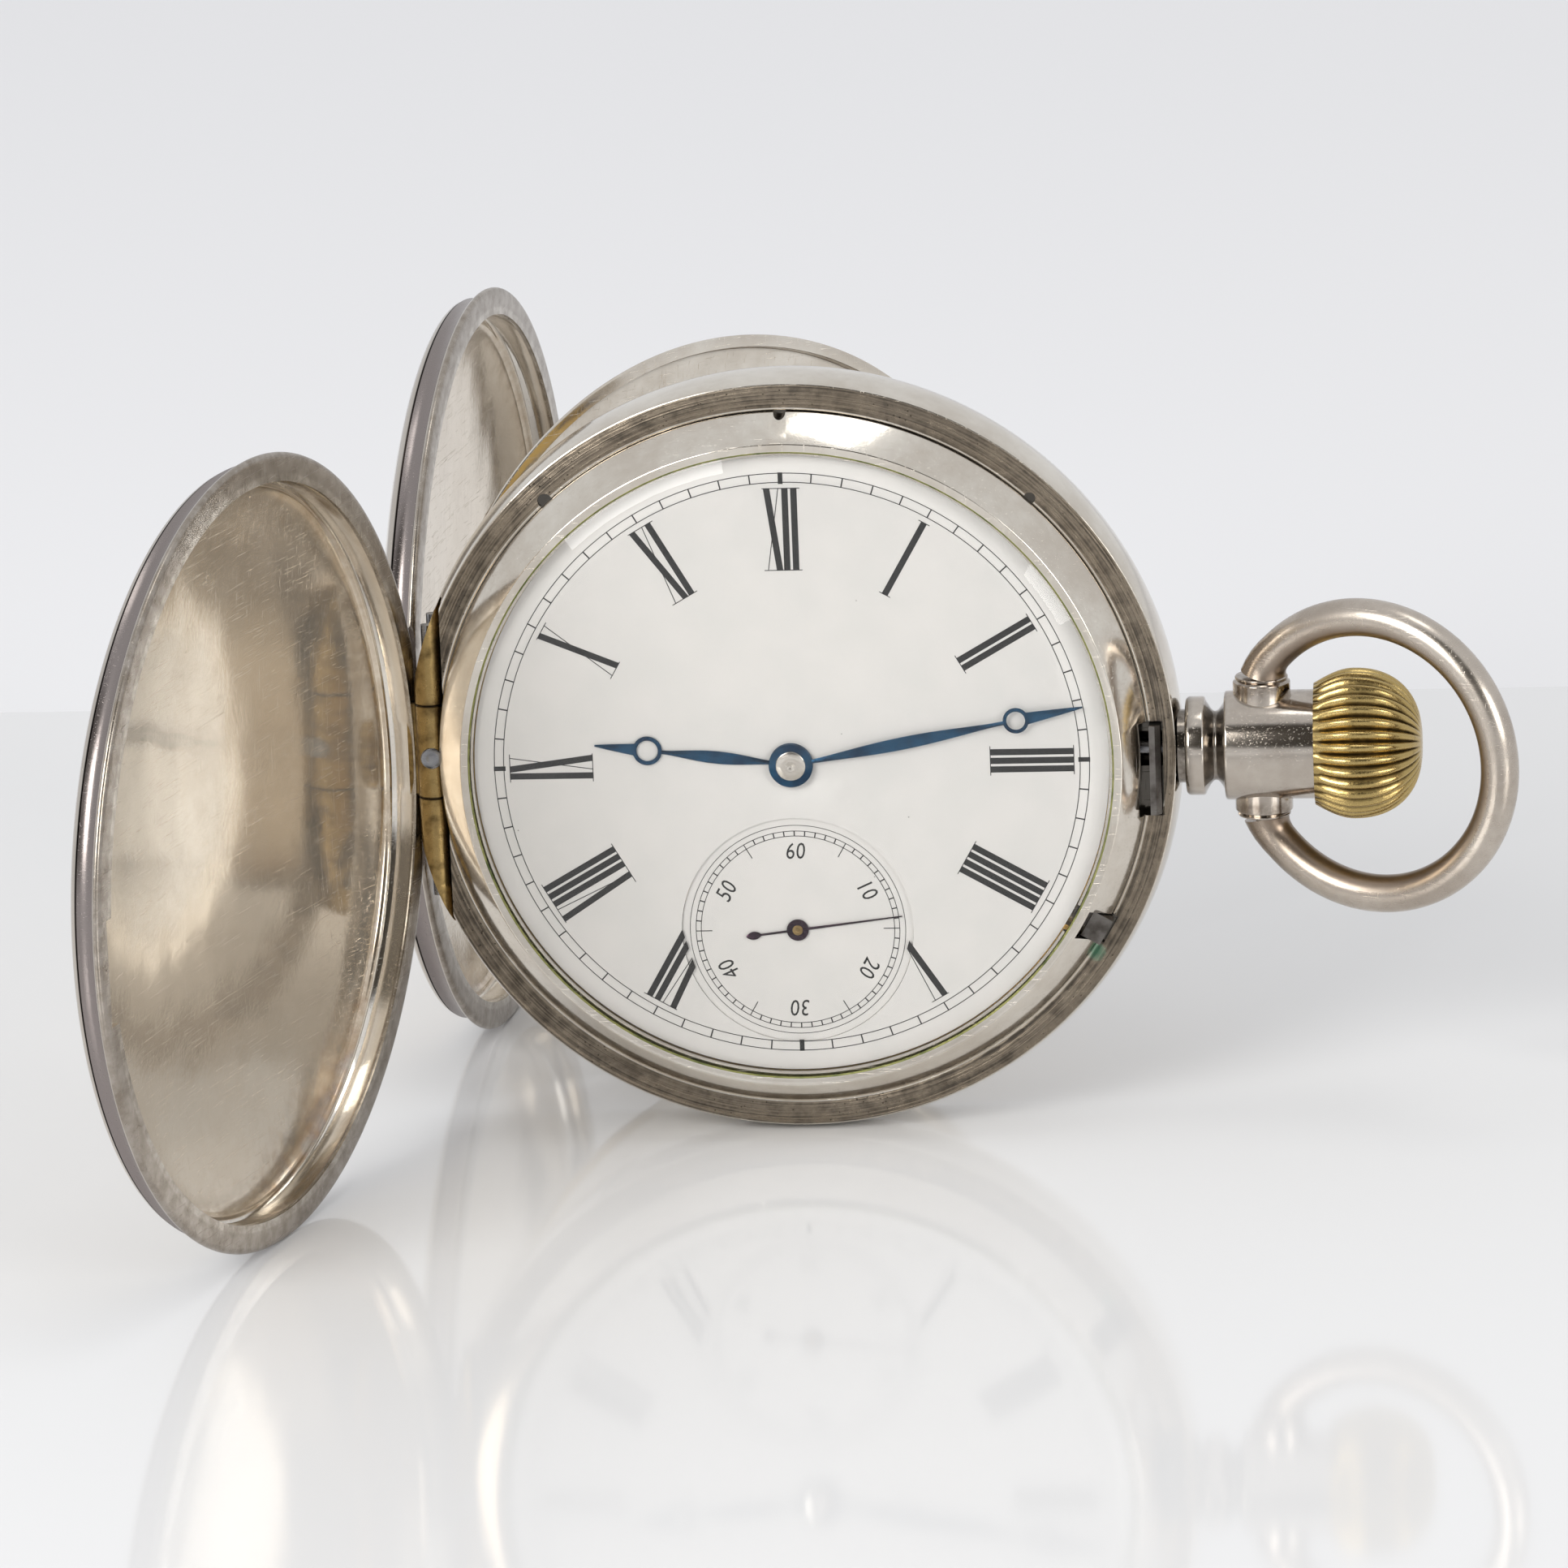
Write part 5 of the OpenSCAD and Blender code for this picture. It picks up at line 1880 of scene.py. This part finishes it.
def dress_movement(steel: bpy.types.Material) -> None:
    """Dress the movement behind the dial, which shows when the back stands open.

    Args:
        steel: Plain steel.
    """
    gilt = Brass(
        bright="#DDB968", grime="#A88742", roughness=0.34, grain=18.0, grime_share=0.35
    ).make("gilt_plates")
    wheels = Brass(
        bright="#E2C173", grime="#B08E4A", roughness=0.2, grain=9.0, grime_share=0.3
    ).make("gilt_wheels")
    blue = Steel(tone="#2C4C74", shade="#1C3153", roughness=0.16).make("blued_screws")
    dress(
        gilt, "main_plate", "pillars", "three_quarter_plate", "balance_cock", "pallet_bridge", "barrel_drum"
    )
    dress(
        wheels, "centre_wheel", "minute_wheel", "hour_wheel", "third_wheel", "fourth_wheel",
        "escape_wheel", "balance_wheel"
    )
    dress(
        blue, "case_screws", "plate_screws", "cock_screw", "crown_wheel_screw", "ratchet_screw",
        "hairspring"
    )
    for node, turn in (("ratchet_wheel", "arbor_turn"), ("crown_wheel", "crown_wheel_turn")):
        place = Vector(joint(turn)["pos_m"])
        at = Matrix.Translation(place) @ UPRIGHT.to_3x3().to_4x4()
        dress(
            Steel(tone="#B4B3B2", shade="#8C8B8B", roughness=0.2, around=True).make(f"{node}_finish", at),
            node
        )
    dress(
        Steel(tone="#B9B8B6", shade="#8F8E8D", roughness=0.18).make("polished_steel"), "regulator",
        "click", "pallet_fork"
    )
    dress(
        steel, "click_spring", "barrel_arbor", "mainspring", "cannon_pinion", "balance_staff",
        "lift_spring", "catch_spring"
    )
    dress(Ruby().make("ruby"), "plate_jewels", "cock_jewel")


def main() -> None:
    """Build the watch part by part, then the stage."""
    smooth = Silver().make("burnished_silver")
    seat = Silver(zone=Zone.SEAT, film_share=0.4).make("case_silver")
    steel = Steel().make("plain_steel")
    dark_steel = Steel(tone="#7A7672", shade="#47423E", roughness=0.36).make("worn_steel")
    brass = Brass(
        bright="#A08758", grime="#4A3A24", roughness=0.3, grain=7.0, grime_share=0.85, seams=(4.0, -2.5)
    ).make("hinge_brass")
    ink = Ink().make("dial_paint")

    case = Case()
    case.build_band(seat)
    case.build_bezel(
        smooth,
        Brass(
            bright="#8F8F5C", grime="#5C6B46", roughness=0.6, grain=5.0, grime_share=0.9
        ).make("verdigris")
    )
    dress(Crystal().make("crystal"), "glass")
    dress(Enamel().make("dial_enamel"), "dial", "seconds_dial")

    def covered(name: str) -> Callable[[Matrix], bpy.types.Material]:
        """Describe the silver of a cover.

        Args:
            name: Its name.

        Returns:
            A function that makes it in a frame.
        """
        return lambda at: Silver(
            clean="#F0EBE2", film="#BDB0A0", zone=Zone.COVER, film_share=0.3, roughness=0.1, dents=0.07
        ).make(name, at)

    Cover(
        "front_cover_shell", "front_lid", "front_cover", "front_cover_hinge", -1.5, 1, nick=True
    ).build(covered("front_cover_silver"))
    Cover(
        "back_cover_shell", "back_lid", "back_cover", "back_cover_hinge", -7.1, -1
    ).build(covered("back_cover_silver"))
    DustCover().build(lambda at: Silver(film_share=0.5, roughness=0.15).make("dust_cover_silver", at))
    dress(
        brass, "front_hinge_knuckles", "back_hinge_knuckles", "front_lid_knuckle", "back_lid_knuckle",
        "cuvette_knuckle"
    )
    dress(steel, "front_hinge_pin", "back_hinge_pin")
    dress(dark_steel, "lid_catch", "setting_pin")

    worn = Silver(clean="#CBC3B9", film="#8E8072", zone=Zone.NECK, roughness=0.14, dents=0.05)
    Pendant().build(worn.make("pendant_silver", side_frame()))
    # The bow's silver carries painted brown shade on the inner side of its ring.
    shaded_bow_silver = Silver(
        clean="#C9C0B5", film="#8D7F71", zone=Zone.BOW, film_share=0.55, roughness=0.25, dents=0.05
    )
    Bow().build(lambda at: shaded_bow_silver.make("bow_silver", at))
    crown = Crown()
    crown.build(CrownGilt(ribs=crown.ribs).make("crown_gilt", side_frame()), steel)

    paint = DialPrint()
    paint.build_hours(ink)
    paint.build_minutes(ink)
    paint.build_seconds(ink)
    blue = Steel(tone="#2A5878", shade="#16314C", roughness=0.2).make("blued_hands")
    Hand(
        "hour_hand_leaf", "hour_hand", "hour_wheel", 276.6, 0.1, 0.12, 1.5, 1.15, 9.8, 1.0, 13.4
    ).build(blue)
    Hand(
        "minute_hand_leaf", "minute_hand", "centre_wheel", 79.3, 0.42, 0.12, 1.5, 0.75, 15.6, 0.88, 20.2
    ).build(blue)
    purple = Steel(tone="#3E2C38", shade="#241A24", roughness=0.25).make("purple_steel")
    SecondsHand(
        "seconds_hand_needle", "seconds_hand", "fourth_wheel", 83.1, -0.1, 0.1, 0.75, 0.3, tip=7.2
    ).build(purple)
    Caps().build(Silver(film_share=0.2).make("cap_silver"), brass, steel)
    dress_movement(steel)
    Stage().build()


if __name__ == "__main__":
    logging.basicConfig(level=logging.INFO, format="%(message)s")
    main()
